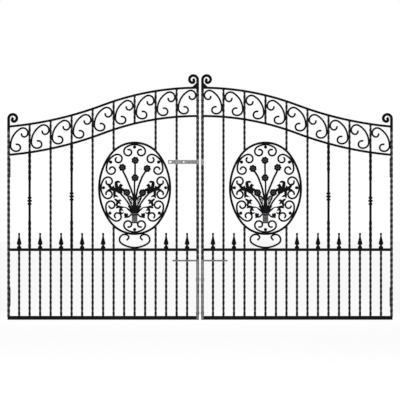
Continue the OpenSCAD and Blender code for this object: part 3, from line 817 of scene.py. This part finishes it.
class GATE_OT_twisted_bars(bpy.types.Operator):
    """Model the twisted dog bars, long bars and frieze bars"""
    bl_idname = "gate.twisted_bars"
    bl_label = "Twisted bars"

    def execute(self, context):
        enamel = finish_of("handled_black_enamel")
        dog = twisted_bar("dog_bar", BAR_PITCH, BOTTOM_RAIL_TOP - LET_IN, MIDDLE_RAIL_Z + LET_IN, THIN_BAR)
        dogs = [dog]
        for k in range(2, LEAF_W // BAR_PITCH):
            dogs.append(copied(dog, "dog_bar", ((k - 1) * BAR_PITCH * MM, 0, 0)))
        on_both_leaves(dogs, "dog_bar_twists", "dog_bars", enamel)

        low = lower_rail_height(BAY_W)
        frieze = twisted_bar("frieze_bar", BAY_W, low + LET_IN, low + FRIEZE_DROP - LET_IN, THIN_BAR)
        bars = [frieze]
        for k in range(2, BAYS):
            lift = rail_height(k * BAY_W) - rail_height(BAY_W)
            bars.append(copied(frieze, "frieze_bar", ((k - 1) * BAY_W * MM, 0, lift * MM)))
        foot = MIDDLE_RAIL_TOP - LET_IN
        for k in LONG_BARS:
            x = k * BAR_PITCH
            bars.append(twisted_bar("long_bar", x, foot, lower_rail_height(x) - LET_IN, THIN_BAR))
        for k in OVAL_BARS:
            x = k * BAR_PITCH
            rise = OVAL_END_RISE + math.sqrt(OVAL_END_R ** 2 - (x - OVAL_X) ** 2)
            for z0, z1 in (
                    (foot, OVAL_Z - rise - OVAL_LET_IN),
                    (OVAL_Z + rise + OVAL_LET_IN, lower_rail_height(x) - LET_IN)):
                bars.append(twisted_bar("oval_bar", x, z0, z1, THIN_BAR))
        on_both_leaves(bars, "upright_bar_twists", "upright_bars", enamel)
        return {"FINISHED"}


# A collar's section: each ring's radius as a share of the widest, and its height
COLLAR_PROFILE = ((0.7, -7.5), (0.86, -6.6), (0.95, -4.2), (1, 0), (0.95, 4.2), (0.86, 6.6), (0.7, 7.5))
COLLAR_R = 17.5
END_COLLAR_R = 15.2
COLLAR_STEP = 23


class GATE_OT_collared_bars(bpy.types.Operator):
    """Model the bars that are twisted at their ends and carry three turned rings"""
    bl_idname = "gate.collared_bars"
    bl_label = "Collared bars"

    def execute(self, context):
        ends = context.scene.gate_sizes.twisted_end
        side = COLLARED_BAR - FULLNESS / 2
        parts = []
        for k in COLLARED_BARS:
            x = k * BAR_PITCH
            top = lower_rail_height(x)
            parts.append(twisted_bar("collared_bar", x, MIDDLE_RAIL_TOP - LET_IN, top - LET_IN, side, ends))
            middle = (MIDDLE_RAIL_TOP + top - RAIL_H / 2) / 2
            for step, r in ((-1, END_COLLAR_R), (0, COLLAR_R), (1, END_COLLAR_R)):
                profile = [(share * r, h) for share, h in COLLAR_PROFILE]
                parts.append(turned("collar_ring", x, middle + step * COLLAR_STEP, profile))
        on_both_leaves(
            parts, "ringed_bars", "collared_bars", finish_of("satin_black_enamel"))
        return {"FINISHED"}


# Room between a frieze scroll and the two rails, above and below together
FRIEZE_ROOM = 10
# Radii of a frieze scroll as shares of its crown's: the curl from the crown to the top tip with its turns,
# the broad bend at the foot, and the foot's tip
FRIEZE_TOP_CURL = ((0.825, 70), (0.55, 130))
FRIEZE_FOOT = 1.1
FRIEZE_FOOT_TIP = 0.675


class GATE_OT_frieze_scrolls(bpy.types.Operator):
    """Model the C-scrolls between the two curved rails"""
    bl_idname = "gate.frieze_scrolls"
    bl_label = "Frieze scrolls"

    def execute(self, context):
        first = self.scroll(0, STILE / 2, THIN_BAR / 2)
        second = self.scroll(1, THIN_BAR / 2, THIN_BAR / 2)
        last = self.scroll(BAYS - 1, THIN_BAR / 2, STILE / 2)
        scrolls = [first, second, last]
        for k in range(2, BAYS - 1):
            lift = rail_height((k + 0.5) * BAY_W) - rail_height(1.5 * BAY_W)
            scrolls.append(copied(second, "frieze_scroll", ((k - 1) * BAY_W * MM, 0, lift * MM)))
        on_both_leaves(
            scrolls, "frieze_c_scrolls", "frieze_scrolls", finish_of("satin_black_enamel"))
        return {"FINISHED"}

    def scroll(self, k, left_half, right_half):
        """One scroll, bent from the tip of its top curl round to the tip of its foot curl."""
        inset = WELD_GAP + SCROLL_BAR / 2
        w = BAY_W - left_half - right_half - 2 * inset
        height = FRIEZE_DROP - RAIL_H - SCROLL_BAR - FRIEZE_ROOM
        # bends of 120, 60 and 120 degrees fill the width and the height of the bay
        pull = math.sqrt(3)
        crown = (w * pull - height) / (pull * 1.5 - 1 + pull / 2 - FRIEZE_FOOT)
        back = (w - crown * 1.5) / 0.5
        x = (k + 1) * BAY_W - right_half - inset
        z = rail_height((k + 0.5) * BAY_W) - (FRIEZE_DROP - height) / 2 - crown
        top = [(crown * share, turn) for share, turn in FRIEZE_TOP_CURL]
        tip_x, tip_z, heading = end_of(x, z, -90, [(r, -turn) for r, turn in top])
        foot = [(crown * FRIEZE_FOOT, 120), (crown * FRIEZE_FOOT_TIP, 175)]
        bends = top[::-1] + [(crown, 120), (back, 60)] + foot
        bar = bent_bar("frieze_scroll", tip_x, tip_z, heading + 180, bends, SCROLL_BAR, SCROLL_DEPTH)
        return ease(bar, BENT_EDGE * MM)


# Half a scroll of the oval: each bend's radius as a share of the widest, and its turn
OVAL_SCROLL_BENDS = ((1, 35), (0.355, 55), (0.283, 90), (0.236, 90), (0.18, 125))
# Where the scrolls sit along a side of the oval, as shares of the angle from its middle to its end
SIDE_SEATS = (-0.785, 0.016, 0.832)
# A ball with the tang that holds it to its scroll, by radius and height
BALL_PROFILE = (
    (3, -BALL_RISE + 4.5), (3, -BALL_R + 0.8), (5, -11.4), (7.2, -10.2), (9.8, -7.8), (11.7, -4.4),
    (BALL_R, 0), (11.7, 4.4), (9.8, 7.8), (7.2, 10.2), (3.8, 11.9), (0.4, BALL_R))
# The foot scroll's broad back, the turn of each half of it, and its corners' radius as a share of it
FOOT_BACK_R = 171
FOOT_TURN = 35
FOOT_CORNER = 0.2


class GATE_OT_oval(bpy.types.Operator):
    """Model the oval ring, the eight scrolls in it with their balls, and the scroll that it stands on"""
    bl_idname = "gate.oval"
    bl_label = "Oval"

    def execute(self, context):
        enamel = finish_of("satin_black_enamel")
        self.ring(enamel)
        self.scrolls(enamel)
        self.foot(enamel)
        return {"FINISHED"}

    def ring(self, enamel):
        """The ring, bent round from its lowest point and welded there."""
        end = 90 - OVAL_SIDE_ANGLE
        bends = [
            (OVAL_END_R, end), (OVAL_SIDE_R, 2 * OVAL_SIDE_ANGLE), (OVAL_END_R, 2 * end),
            (OVAL_SIDE_R, 2 * OVAL_SIDE_ANGLE), (OVAL_END_R, end)]
        ring = bent_bar("oval_hoop", OVAL_X, OVAL_Z - OVAL_B, 0, bends, OVAL_BAR, OVAL_DEPTH)
        seam = at(OVAL_X, OVAL_Z - OVAL_B)
        edit(ring)
        pick(ring, "faces", lambda f: (f.calc_center_median() - seam).length < 0.1 * MM)
        bpy.ops.mesh.delete(type="FACE")
        done()
        ease(close(ring), BAR_EDGE * MM)
        on_both_leaves([ring], "oval_hoop", "oval_ring", enamel)

    def seats(self):
        """Where a scroll's back touches the ring, and how far the scroll is turned there."""
        seat = OVAL_BAR / 2 + WELD_GAP + SCROLL_BAR / 2
        found = [(OVAL_X, OVAL_Z - OVAL_B + seat, 0), (OVAL_X, OVAL_Z + OVAL_B - seat, 180)]
        reach = OVAL_SIDE_R - seat
        for side in (-1, 1):
            for share in SIDE_SEATS:
                angle = share * OVAL_SIDE_ANGLE
                x = OVAL_X + side * (reach * cosine(angle) - OVAL_SIDE_INSET)
                found.append((x, OVAL_Z + reach * sine(angle), side * (90 + angle)))
        return found

    def scrolls(self, enamel):
        """The scrolls about the ring, each with a ball at its back."""
        scroll = twin_scroll("scroll", [(OVAL_SCROLL_R * share, turn) for share, turn in OVAL_SCROLL_BENDS])
        ball = turned("ball", 0, 0, BALL_PROFILE, 24)
        ball.location = -at(0, 0)
        settle(ball)
        scrolls, balls = [], []
        for x, z, turn in self.seats():
            scrolls.append(placed(scroll, "oval_scroll", at(x, z), turn))
            x += BALL_RISE * cosine(turn + 90)
            z += BALL_RISE * sine(turn + 90)
            balls.append(placed(ball, "scroll_ball", at(x, z), turn))
        discard(scroll)
        discard(ball)
        on_both_leaves(scrolls, "oval_c_scrolls", "oval_scrolls", enamel)
        on_both_leaves(
            balls, "ball_bosses", "scroll_balls", finish_of("black_painted_cast_iron"))

    def foot(self, enamel):
        """The scroll under the oval, with volutes just large enough to meet the ring."""
        z = MIDDLE_RAIL_TOP + WELD_GAP + SCROLL_BAR / 2
        corner = FOOT_BACK_R * FOOT_CORNER
        reach = FOOT_BACK_R * sine(FOOT_TURN) + corner * (1 - sine(FOOT_TURN))
        rise = FOOT_BACK_R * (1 - cosine(FOOT_TURN)) + corner * cosine(FOOT_TURN)
        to_oval = OVAL_Z - OVAL_END_RISE - z - rise
        stand_off = OVAL_END_R + OVAL_BAR / 2 + SCROLL_BAR / 2 + WELD_GAP
        volute = (reach ** 2 + to_oval ** 2 - stand_off ** 2) / (2 * (reach + stand_off))
        half = [
            (FOOT_BACK_R, FOOT_TURN), (corner, 90 - FOOT_TURN), (volute, 90), (volute, 45),
            (0.34 * volute, 85), (3 * volute, 10)]
        model = twin_scroll("foot_model", half)
        foot = placed(model, "foot_volutes", at(OVAL_X, z), 0)
        discard(model)
        on_both_leaves([foot], "foot_volutes", "foot_scroll", enamel)


# A spear point by radius and height
SPEAR_PROFILE = (
    (15, 0), (16.4, 1.2), (17, 5), (16.4, 9.5), (14.4, 13), (11.4, 16.5), (8.6, 19.5), (7.6, 22.5),
    (8.4, 25), (12.6, 27.6), (16.4, 30), (17.8, 34), (17.4, 39), (15.8, 46), (13.8, 54), (11.2, 64),
    (8.8, 74), (6.9, 84), (5.8, 91), (5.6, 95), (6.8, 99), (8.1, 104), (8.2, 108), (7, 112), (4.4, 115),
    (0.4, 116))


class GATE_OT_spears(bpy.types.Operator):
    """Model the cast spear points on the middle rail"""
    bl_idname = "gate.spears"
    bl_label = "Spear points"

    def execute(self, context):
        spear = turned("spear", SPEARS[0] * BAR_PITCH, MIDDLE_RAIL_TOP, SPEAR_PROFILE)
        spears = [spear]
        for k in SPEARS[1:]:
            spears.append(copied(spear, "spear", ((k - SPEARS[0]) * BAR_PITCH * MM, 0, 0)))
        on_both_leaves(
            spears, "spear_castings", "spear_points", finish_of("black_painted_cast_iron"))
        return {"FINISHED"}


# Middles of the flowers, across and up, and the turn from one flower to the next
FLOWERS = ((940, 1184), (939, 1054), (845, 1131), (1029, 1123), (878, 945), (995, 943))
FLOWER_TURN = 14
# A ring of petals by its turn as a share of a petal's step, then a petal's reach, its radius and its
# stand in front of the leaf's middle
OUTER_PETALS = (0, 17.5, 11, 7.5)
INNER_PETALS = (0.5, 11, 6.4, 10.5)
# A petal's thickness and the breadth of the hollow pressed into it, as shares of its own, and its depth
PETAL_FLATNESS = 0.28
HOLLOW_BREADTH = 0.45
HOLLOW_DEPTH = 2
# Radius, thickness and stand of the disc behind the petals; radius and stand of the boss; radius,
# section radius and stand of the ring about it
DISC = (19, 5, 7)
BOSS = (5.6, 11.4)
BOSS_RING = (9.6, 2.7, 11.6)


class GATE_OT_flowers(bpy.types.Operator):
    """Model the rosettes: two rings of cupped petals about a ringed boss, on both faces of the leaf"""
    bl_idname = "gate.flowers"
    bl_label = "Flowers"

    def execute(self, context):
        petals = context.scene.gate_sizes.petals
        for piece, model, finish in (
                ("rosettes", self.rim(petals), "black_painted_cast_iron"),
                # the boss rings' grey is a painted highlight
                ("rosette_hearts", self.heart(), "dusty_black_cast_iron")):
            copies = []
            for i, (x, z) in enumerate(FLOWERS):
                front = placed(model, "rosette", at(x, z), FLOWER_TURN * i)
                copies += [front, mirrored(front, "rosette", (0, LEAF_Y, 0), TO_BACK)]
            discard(model)
            on_both_leaves(copies, piece, "flowers", finish_of(finish))
        return {"FINISHED"}

    def rim(self, petals):
        """Both rings of petals of a rosette that faces the front at the frame's origin, disc and boss."""
        radius, thick, stand = DISC
        disc = begin(
            bpy.ops.mesh.primitive_cylinder_add, "disc", vertices=32, radius=radius * MM, depth=thick * MM,
            location=(0, -stand * MM, 0), rotation=(math.pi / 2, 0, 0))
        settle(disc)
        ease(disc, BAR_EDGE * MM)
        radius, stand = BOSS
        boss = begin(
            bpy.ops.mesh.primitive_uv_sphere_add, "boss", segments=16, ring_count=8, radius=radius * MM,
            location=(0, -stand * MM, 0))
        boss.scale = (1, 0.8, 1)
        settle(boss)
        smooth(boss, 60)
        rings = self.ring_of(petals, *OUTER_PETALS) + self.ring_of(petals, *INNER_PETALS)
        return join("rim", rings + [disc, boss])

    def heart(self):
        """The ring about the boss of the same rosette."""
        radius, section, stand = BOSS_RING
        ring = begin(
            bpy.ops.mesh.primitive_torus_add, "boss_ring", major_radius=radius * MM,
            minor_radius=section * MM, major_segments=24, minor_segments=8,
            location=(0, -stand * MM, 0), rotation=(math.pi / 2, 0, 0))
        settle(ring)
        return smooth(ring, 60)

    def ring_of(self, petals, step, reach, across, stand):
        """Like petals spaced evenly about the middle, turned by a share of a petal's step."""
        model = self.petal(reach, across, stand)
        ring = [placed(model, "petal", (0, 0, 0), (i + step) * 360 / petals) for i in range(petals)]
        discard(model)
        return ring

    def petal(self, reach, across, stand):
        """One petal: a flattened bud with its middle pressed in."""
        centre = Vector((reach * MM, -stand * MM, 0))
        petal = begin(
            bpy.ops.mesh.primitive_uv_sphere_add, "petal_model", segments=16, ring_count=10,
            radius=across * MM, location=centre, rotation=(math.pi / 2, 0, 0))
        petal.scale = (1, 1, PETAL_FLATNESS)
        settle(petal)
        edit(petal, "VERT")
        pick(petal, "verts", lambda v: v.co.y < centre.y - 0.1 * MM
             and math.hypot(v.co.x - centre.x, v.co.z) < HOLLOW_BREADTH * across * MM)
        bpy.ops.transform.translate(value=(0, HOLLOW_DEPTH * MM, 0))
        done()
        return smooth(petal, 60)


# The stems of the flowers: places along each stem, and its width at each place
FLOWER_STEMS = (
    (((936, 880), (935, 1000), (936, 1054)), (13, 13, 13)),
    (((938.5, 1054), (939.4, 1120), (940, 1184)), (13.4, 13.4, 13.4)),
    (((929, 880), (922, 934), (890, 1016), (871, 1061), (850, 1103), (845, 1131)),
     (14.4, 14.4, 14.4, 14.4, 14.2, 13)),
    (((943, 880), (949, 925), (961, 979), (977, 1024), (994, 1066), (1016, 1101), (1028, 1123)),
     (14.4, 14.4, 14.4, 14.4, 14.4, 14.2, 13)),
    (((924, 818), (913, 850), (899, 880), (886, 911), (878, 945)), (11, 11, 11.5, 11.5, 11)),
    (((948, 818), (959, 850), (973, 880), (986, 911), (995, 943)), (11, 11, 11.5, 11.5, 11)),
)
# The bundle: the height of each stem's tip from left to right, the stems' stand from the leaf's middle
# on both faces, and their widths
BUNDLE_TIPS = (872, 896, 918, 924, 932, 922, 916, 892, 868)
BUNDLE_STAND = 4.5
BUNDLE_WIDTHS = (8, 7.4, 7.6, 2.5)
# From stem to stem at the foot, the waist, the bend and the tip
BUNDLE_STEPS = (4.2, 3.3, 3.2, 3.0)
BUNDLE_FOOT_Z, BUNDLE_WAIST_Z = 788, 830
# How far under its tip a stem bends, and the share of its stand that the tip keeps
BUNDLE_BEND = 26
BUNDLE_TIP_STAND = 0.6


class GATE_OT_stems(bpy.types.Operator):
    """Model the flower stems and the bundle that they come from"""
    bl_idname = "gate.stems"
    bl_label = "Stems"

    def execute(self, context):
        stems = [rod("stem", spine, widths) for spine, widths in FLOWER_STEMS]
        for i, tip in enumerate(BUNDLE_TIPS):
            lean = i - (len(BUNDLE_TIPS) - 1) / 2
            for depth in (-BUNDLE_STAND, BUNDLE_STAND):
                heights = (BUNDLE_FOOT_Z, BUNDLE_WAIST_Z, tip - BUNDLE_BEND, tip + depth)
                stands = (depth, depth, depth, depth * BUNDLE_TIP_STAND)
                across = [OVAL_X + lean * step for step in BUNDLE_STEPS]
                stems.append(rod("bundle_stem", list(zip(across, heights, stands)), BUNDLE_WIDTHS, 10))
        on_both_leaves(
            stems, "bouquet_stems", "flower_stems", finish_of("black_painted_cast_iron"))
        return {"FINISHED"}


# The leaves of one side of the bouquet: places along each leaf's spine, and its width at each place
LEAVES = (
    # body of the big leaf, and its arm towards the lower flower
    (((840, 936), (829, 951), (813, 964), (794, 968), (776, 969), (758, 973)), (18, 36, 42, 29, 26, 18)),
    (((816, 970), (834, 970), (850, 965), (864, 957), (874, 949)), (26, 24, 21, 18, 10)),
    # hooked lobe that stands up, its hook, and the lobe beside it
    (((808, 974), (802, 990), (799, 1005), (798, 1020)), (27, 25, 25, 22)),
    (((788, 1018), (801, 1023), (816, 1025), (828, 1021)), (8, 18, 17, 9)),
    (((825, 968), (829, 988), (832, 1000), (831, 1010)), (27, 25, 21, 7)),
    (((826, 996), (838, 999), (850, 998)), (20, 16, 5)),
    # lobe up to the left with its knuckle, and the tendril under it
    (((778, 971), (762, 980), (752, 990), (745, 1001), (738, 1012)), (26, 21, 21, 20, 6)),
    (((770, 972), (778, 985), (782, 994)), (22, 18, 7)),
    (((774, 967), (758, 968), (745, 964), (733, 954), (725, 938)), (20, 17, 15, 13, 7)),
    # lobe that hangs down, with its foot
    (((792, 968), (787, 953), (786, 937), (787, 920)), (32, 22, 20, 20)),
    (((783, 923), (797, 920), (813, 914)), (16, 16, 7)),
    (((790, 926), (785, 915), (780, 905)), (18, 15, 7)),
    # upper leaf of the lower sprig
    (((804, 842), (804, 856), (808, 870), (806, 882), (796, 891), (787, 897)), (14, 18, 19, 18, 17, 9)),
    (((800, 872), (814, 876), (826, 887), (838, 884)), (17, 25, 17, 6)),
    (((806, 880), (820, 872), (831, 860)), (18, 18, 7)),
    # its lower leaf: the arm, the hook that hangs from it and the inner lobe
    (((798, 829), (808, 836), (820, 839), (838, 835), (856, 837)), (8, 18, 20, 17, 8)),
    (((842, 836), (832, 824), (827, 812), (829, 800), (840, 790), (857, 797)), (16, 17, 16, 15, 13, 6)),
    (((828, 818), (840, 817), (851, 811)), (14, 14, 6)),
    # small leaf under the collar
    (((876, 764), (872, 775), (866, 784), (861, 789)), (22, 28, 22, 8)),
    (((872, 768), (879, 778), (884, 789)), (22, 19, 7)),
    (((880, 768), (870, 764), (861, 757)), (19, 18, 7)),
    # short leaf at the big stem's foot
    (((916, 806), (905, 826), (897, 838), (887, 845)), (12, 15, 15, 6)),
)
# Round stems of the same side
STEMS = (
    (((822, 956), (836, 933), (857, 909), (878, 882), (891, 861), (904, 838), (926, 794)),
     (24, 14, 13, 13, 13, 14, 14)),
    (((926, 788), (907, 806), (889, 820), (872, 833), (853, 836), (836, 833)), (20, 18, 13, 8, 9, 13)),
    (((922, 790), (909, 780), (893, 766), (878, 764)), (12, 12, 13, 15)),
)
# Rim and veins of the open leaf beside the bundle
OPEN_LEAF = (
    (((885, 899), (889, 909), (898, 918), (908, 914), (917, 903), (922, 890)), (8, 9.5, 10, 9.5, 9, 8)),
    (((891, 906), (903, 894), (918, 878)), (7, 7.5, 7)),
    (((898, 914), (908, 902), (919, 889)), (6, 6.5, 6)),
    (((900, 882), (908, 874), (918, 863)), (8, 9, 9)),
)


class GATE_OT_leaves(bpy.types.Operator):
    """Model the forged leaf sprays on both sides of the bouquet"""
    bl_idname = "gate.leaves"
    bl_label = "Leaves"

    def execute(self, context):
        leaves = [forged_leaf("leaf", spine, widths) for spine, widths in LEAVES]
        leaves += [rod("leaf_stem", spine, widths) for spine, widths in STEMS + OPEN_LEAF]
        side = join("leaf_side", leaves)
        other = mirrored(side, "leaf_side", (OVAL_X * MM, 0, 0))
        on_both_leaves(
            [side, other], "leaf_forgings", "leaf_sprays",
            finish_of("black_painted_cast_iron"))
        return {"FINISHED"}


# The sheath's low and high ends, and the half widths of its oval core
SHEATH_LOW, SHEATH_HIGH = 720, 778
SHEATH_CORE = (18, 9.5)
# A reed by radius and height, the number of reeds, and the half widths of the oval that they stand on
REED_PROFILE = (
    (1.2, 1), (2.8, 2), (3.6, 5), (3.6, 18), (3.4, 30), (3.6, 42), (3.6, 53), (2.8, 57), (1.2, 58))
REEDS = 16
REED_OVAL = (17.4, 8.7)
# Bands by height, thickness and half widths: the pale collar, whose grey is a painted highlight, and the
# black bands under it and at the foot
COLLAR_BAND = (786.5, 7.5, 31, 15)
DARK_BANDS = ((779, 8, 32.5, 15), (719.5, 7, 24, 13))


class GATE_OT_sheath(bpy.types.Operator):
    """Model the reeded sheath that holds the stems, with its collar and the black bands at its top and foot
    """
    bl_idname = "gate.sheath"
    bl_label = "Sheath"

    def execute(self, context):
        core = begin(
            bpy.ops.mesh.primitive_cylinder_add, "core", vertices=32, radius=1,
            depth=(SHEATH_HIGH - SHEATH_LOW) * MM, location=at(OVAL_X, (SHEATH_LOW + SHEATH_HIGH) / 2))
        core.scale = (SHEATH_CORE[0] * MM, SHEATH_CORE[1] * MM, 1)
        parts = [settle(core)]
        reed = turned("reed", OVAL_X, SHEATH_LOW, REED_PROFILE, 12)
        for i in range(REEDS):
            angle = i * 360 / REEDS
            move = (REED_OVAL[0] * MM * cosine(angle), REED_OVAL[1] * MM * sine(angle), 0)
            parts.append(copied(reed, "reed", move))
        discard(reed)
        parts.append(self.band(*COLLAR_BAND))
        # the sheath's grey paint is a painted highlight on its reeds and collar
        on_both_leaves(
            parts, "reeded_sheath", "stem_sheath", finish_of("graphite_painted_cast_iron"))
        dark_bands = [self.band(*sizes) for sizes in DARK_BANDS]
        on_both_leaves(dark_bands, "sheath_ties", None, finish_of("black_painted_cast_iron"))
        return {"FINISHED"}

    def band(self, z, thick, across, deep):
        """A rounded band about the sheath."""
        band = begin(
            bpy.ops.mesh.primitive_cylinder_add, "band", vertices=48, radius=1, depth=thick * MM,
            location=at(OVAL_X, z))
        band.scale = (across * MM, deep * MM, 1)
        settle(band)
        return ease(band, 0.35 * thick * MM, 3)


class GATE_OT_fittings(bpy.types.Operator):
    """Model the hinges, drop bolts and latch with eased edges"""
    bl_idname = "gate.fittings"
    bl_label = "Fittings"

    def execute(self, context):
        enamel = finish_of("satin_black_enamel")
        dull = finish_of("dull_galvanised_steel")
        bright = finish_of("bright_zinc_plate")
        for hand in ("left", "right"):
            leaf = hand + "_leaf"
            for part, body, slot, material, width in (
                    ("hinge_hooks", "hinge_hooks", "black_iron", enamel, 1),
                    ("hinge_eyes", leaf, "black_iron", enamel, 1),
                    ("bolt_guides", leaf, "zinc_fittings", dull, 0.8),
                    ("drop_bolt", hand + "_bolt", "zinc_fittings", dull, 1.2)):
                node = hand + "_" + part
                hand_over(eased_copy(node, node + "_forging", width * MM), body, node, material)
        for node, body in (
                ("latch_guides", "left_leaf"), ("latch_keep", "right_leaf"), ("latch_bar", "latch")):
            hand_over(eased_copy(node, node + "_plate", 0.6 * MM), body, node, bright)
        return {"FINISHED"}


# Name, place, width, height and power of each light, and the height that all of them are aimed at
LIGHTS = (
    ("front_light", (1.42, -9.0, 0.8), 1.2, 2.0, 480),
    ("left_light", (-1.4, -5.5, 1.0), 1.0, 2.0, 35),
    ("right_light", (4.2, -5.5, 1.0), 1.0, 2.0, 35),
    ("top_light", (0.4, -3.0, 5.5), 2.5, 2.5, 100),
    ("back_light", (1.4, 5.5, 2.4), 2.0, 2.0, 130),
)
LIGHT_AIM_Z = 0.75
# The camera's place, its distance from the leaf, and the width that it sees there
CAMERA_X, CAMERA_Z = 1.4216, 0.7195
CAMERA_AWAY = 25
FRAME_W = 2.9714
SENSOR_W = 36
WHITE = (1, 1, 1, 1)
# Share of plain white in the floor as it is seen, and the strength of the room's soft light
FLOOR_WHITE = 0.92
ROOM_LIGHT = 0.35


class GATE_OT_stage(bpy.types.Operator):
    """Set the pale floor, the soft studio light and the camera"""
    bl_idname = "gate.stage"
    bl_label = "Stage"

    def execute(self, context):
        self.floor(context)
        self.world(context)
        self.lights()
        self.camera(context)
        context.scene.view_settings.view_transform = "Standard"
        return {"FINISHED"}

    def seen(self, tree):
        """A value that is 1 to the camera, to gloss and through glass, and 0 to the light that falls on."""
        path = add(tree, "ShaderNodeLightPath")
        glossy = add(
            tree, "ShaderNodeMath", {"operation": "MAXIMUM"},
            {0: (path, "Is Camera Ray"), 1: (path, "Is Glossy Ray")})
        return add(
            tree, "ShaderNodeMath", {"operation": "MAXIMUM"},
            {0: (glossy, 0), 1: (path, "Is Transmission Ray")})

    def floor(self, context):
        """A pale floor that looks nearly white and keeps a faint shadow."""
        floor = begin(
            bpy.ops.mesh.primitive_plane_add, "studio_floor", size=120,
            location=(GATE_MIDDLE, LEAF_Y, BASE_Z - context.scene.gate_sizes.floor_drop))
        settle(floor)
        material, tree = new_tree("white_studio_floor")
        share = add(
            tree, "ShaderNodeMath", {"operation": "MULTIPLY", 1: FLOOR_WHITE}, {0: (self.seen(tree), 0)})
        paper = add(tree, "ShaderNodeBsdfDiffuse", {"Color": linear(context.scene.gate_colours.floor)})
        white = add(tree, "ShaderNodeEmission", {"Color": WHITE, "Strength": 1})
        mixed = add(tree, "ShaderNodeMixShader", None, {"Fac": (share, 0), 1: (paper, 0), 2: (white, 0)})
        add(tree, "ShaderNodeOutputMaterial", None, {"Surface": (mixed, 0)})
        floor.data.materials.append(material)

    def world(self, context):
        """A white room that lights the gate softly."""
        world = bpy.data.worlds.new("studio")
        context.scene.world = world
        world.use_nodes = True
        tree = world.node_tree
        tree.nodes.clear()
        seen = self.seen(tree)
        soft = add(tree, "ShaderNodeBackground", {"Color": WHITE, "Strength": ROOM_LIGHT})
        white = add(tree, "ShaderNodeBackground", {"Color": WHITE, "Strength": 1})
        mixed = add(tree, "ShaderNodeMixShader", None, {"Fac": (seen, 0), 1: (soft, 0), 2: (white, 0)})
        add(tree, "ShaderNodeOutputWorld", None, {"Surface": (mixed, 0)})

    def lights(self):
        """A front light and two tall side lights that draw the twists, a soft light above and one behind."""
        for name, place, width, height, energy in LIGHTS:
            clear()
            bpy.ops.object.light_add(type="AREA", location=place)
            lamp = bpy.context.object
            lamp.name = name
            lamp.data.shape = "RECTANGLE"
            lamp.data.size = width
            lamp.data.size_y = height
            lamp.data.energy = energy
            aim = Vector((GATE_MIDDLE, LEAF_Y, LIGHT_AIM_Z)) - Vector(place)
            lamp.rotation_euler = aim.to_track_quat("-Z", "Y").to_euler()

    def camera(self, context):
        """A long lens far off, which shows the gate square on as the photograph does."""
        clear()
        bpy.ops.object.camera_add(
            location=(CAMERA_X, LEAF_Y - CAMERA_AWAY, CAMERA_Z), rotation=(math.pi / 2, 0, 0))
        camera = bpy.context.object
        camera.data.sensor_width = SENSOR_W
        camera.data.lens = SENSOR_W * CAMERA_AWAY / FRAME_W
        camera.data.clip_end = 200
        context.scene.camera = camera


class GATE_PT_panel(bpy.types.Panel):
    """Lists the steps that build the gate"""
    bl_idname = "GATE_PT_panel"
    bl_label = "Estate gate"
    bl_space_type = "VIEW_3D"
    bl_region_type = "UI"
    bl_category = "Gate"

    def draw(self, context):
        for group in (context.scene.gate_sizes, context.scene.gate_colours):
            for key in group.__annotations__:
                self.layout.prop(group, key)
        for step in STEPS:
            self.layout.operator(step.bl_idname)


STEPS = (
    GATE_OT_stage, GATE_OT_rails, GATE_OT_stiles, GATE_OT_twisted_bars, GATE_OT_collared_bars,
    GATE_OT_frieze_scrolls, GATE_OT_oval, GATE_OT_spears, GATE_OT_flowers, GATE_OT_stems, GATE_OT_leaves,
    GATE_OT_sheath, GATE_OT_fittings)
CLASSES = (GateSizes, GateColours) + STEPS + (GATE_PT_panel,)


def register():
    for cls in CLASSES:
        bpy.utils.register_class(cls)
    bpy.types.Scene.gate_sizes = bpy.props.PointerProperty(type=GateSizes)
    bpy.types.Scene.gate_colours = bpy.props.PointerProperty(type=GateColours)


def unregister():
    del bpy.types.Scene.gate_colours
    del bpy.types.Scene.gate_sizes
    for cls in reversed(CLASSES):
        bpy.utils.unregister_class(cls)


def main():
    register()
    bpy.ops.gate.stage()
    bpy.ops.gate.rails()
    bpy.ops.gate.stiles()
    bpy.ops.gate.twisted_bars()
    bpy.ops.gate.collared_bars()
    bpy.ops.gate.frieze_scrolls()
    bpy.ops.gate.oval()
    bpy.ops.gate.spears()
    bpy.ops.gate.flowers()
    bpy.ops.gate.stems()
    bpy.ops.gate.leaves()
    bpy.ops.gate.sheath()
    bpy.ops.gate.fittings()
    clear()


if __name__ == "__main__":
    main()
